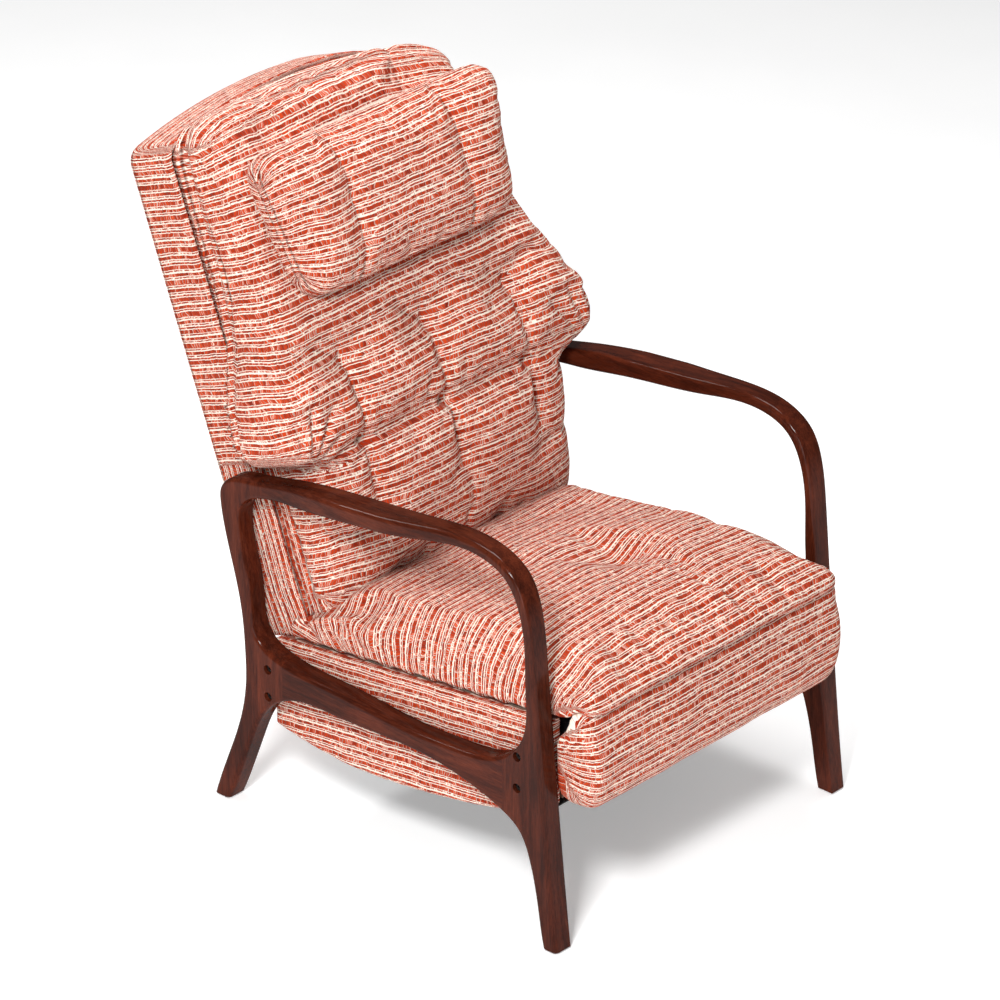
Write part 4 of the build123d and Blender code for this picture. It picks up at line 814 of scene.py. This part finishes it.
def makeShell():
    obj = copyNode("back_shell", "BackShell", 0.0038)
    relax(obj, 0.5, 2)
    local = toBack(getPoints(obj))
    bow = (1 - (local[:, 0] / shellHalf) ** 2) * np.clip((local[:, 1] - 700) / 130, 0, 1)
    rise = local[:, 1] - shellCrown * bow
    top = np.clip((rise - 833) / 7, 0, 1)
    side = (np.abs(local[:, 0]) > 282) & (local[:, 1] < armLevel)
    lengthwise = local[:, 2] + shellHalf - np.abs(local[:, 0]) + 400
    store(obj, "run", np.where(side, lengthwise, rise + top * (local[:, 2] + shellRear)))
    around = np.sign(local[:, 0]) * np.clip(30 - local[:, 2], 0, 400) * (np.abs(local[:, 0]) > 280)
    store(obj, "warp", np.where(side, local[:, 1], local[:, 0] + around))
    rim = np.abs(local[:, 2] + 66)
    store(obj, "seam", np.where(np.abs(local[:, 0]) > 284, np.clip(rim, 0, 60), 60))
    foot = np.clip((104 - local[:, 1]) / 44, 0, 1)
    local[:, 1] -= droop(local) + 27 * foot
    local[:, 0] *= 1 - 0.016 * foot
    setPoints(obj, fromBack(local))
    finishSoft(obj, "back_shell", "back")
    return obj


def makeCovers():
    for side in ("left", "right"):
        obj = copyNode(side + "_side_cover", side.capitalize() + "SideCover", 0.0045)
        relax(obj, 0.5, 2)
        points = getPoints(obj)
        facing = getNormals(obj)[:, 2]
        store(obj, "run", points[:, 2] + points[:, 1] * 0.12 + 500 + facing * (310 - np.abs(points[:, 0])))
        store(obj, "warp", points[:, 1])
        store(obj, "seam", np.full(len(points), float(seamReach)))
        finishSoft(obj, side + "_side_cover", "base")


makeSeat()
makePad()
makeBack()
makePillow()
makeShell()
makeCovers()


# Room, lights and camera
def makeStage():
    mesh = bpy.data.meshes.new("Floor")
    s = 9.0
    mesh.from_pydata([(-s, -s, 0), (s, -s, 0), (s, s, 0), (-s, s, 0)], [], [(0, 1, 2, 3)])
    floor = bpy.data.objects.new("Floor", mesh)
    scene.collection.objects.link(floor)
    f = Net("FloorPaper")
    place = f.node("ShaderNodeTexCoord").outputs["Object"]
    f.set(Base_Color=f.ramp(f.noise(place, 3.0, 3), [(0.3, (0.90, 0.90, 0.90)), (0.7, (0.93, 0.93, 0.93))]),
          Roughness=0.85, Specular_IOR_Level=0.1, Emission_Color=(1, 1, 1, 1), Emission_Strength=0.26)
    mesh.materials.append(f.material)


def makeLight(name, place, target, size, power):
    data = bpy.data.lights.new(name, "AREA")
    data.shape = "RECTANGLE"
    data.size, data.size_y = size
    data.energy = power
    obj = bpy.data.objects.new(name, data)
    scene.collection.objects.link(obj)
    obj.location = place
    obj.rotation_euler = (Vector(target) - Vector(place)).to_track_quat("-Z", "Y").to_euler()
    return obj


makeStage()
for light in (("KeyLight", (-3.0, -1.7, 3.3), (0, 0, 0.5), (0.8, 0.8), 184),
              ("TopLight", (0.6, 0.4, 3.4), (0, 0, 0.4), (1.6, 0.7), 62),
              ("FillLight", (-2.8, -1.8, 0.9), (0, 0, 0.4), (1.4, 1.4), 24),
              ("BackLight", (-0.2, 2.4, 3.0), (0, 0, 0.6), (1.2, 0.5), 34)):
    makeLight(*light)
world = bpy.data.worlds.new("Studio")
scene.world = world
world.use_nodes = True
world.node_tree.nodes["Background"].inputs[0].default_value = (1, 1, 1, 1)
world.node_tree.nodes["Background"].inputs[1].default_value = 0.27
scene.view_settings.view_transform = "Standard"

# Camera fitted to the photograph: focal length and centre in its pixels
photoSize = 1000
focalPixels = 6214.89
centre = (484.43, 523.84)
sensor = 36
cameraAzimuth = math.radians(-47.53)
cameraHeight = math.radians(27.82)
distance = 9.87393
target = Vector((0, 0, 0.45))
toward = Vector((math.sin(cameraAzimuth) * math.cos(cameraHeight),
                 -math.cos(cameraAzimuth) * math.cos(cameraHeight), math.sin(cameraHeight)))
cameraData = bpy.data.cameras.new("Camera")
cameraData.lens = focalPixels / photoSize * sensor
cameraData.sensor_width = sensor
cameraData.shift_x = (photoSize / 2 - centre[0]) / photoSize
cameraData.shift_y = (centre[1] - photoSize / 2) / photoSize
camera = bpy.data.objects.new("Camera", cameraData)
scene.collection.objects.link(camera)
camera.location = target + toward * distance
camera.rotation_euler = (-toward).to_track_quat("-Z", "Y").to_euler()
scene.camera = camera
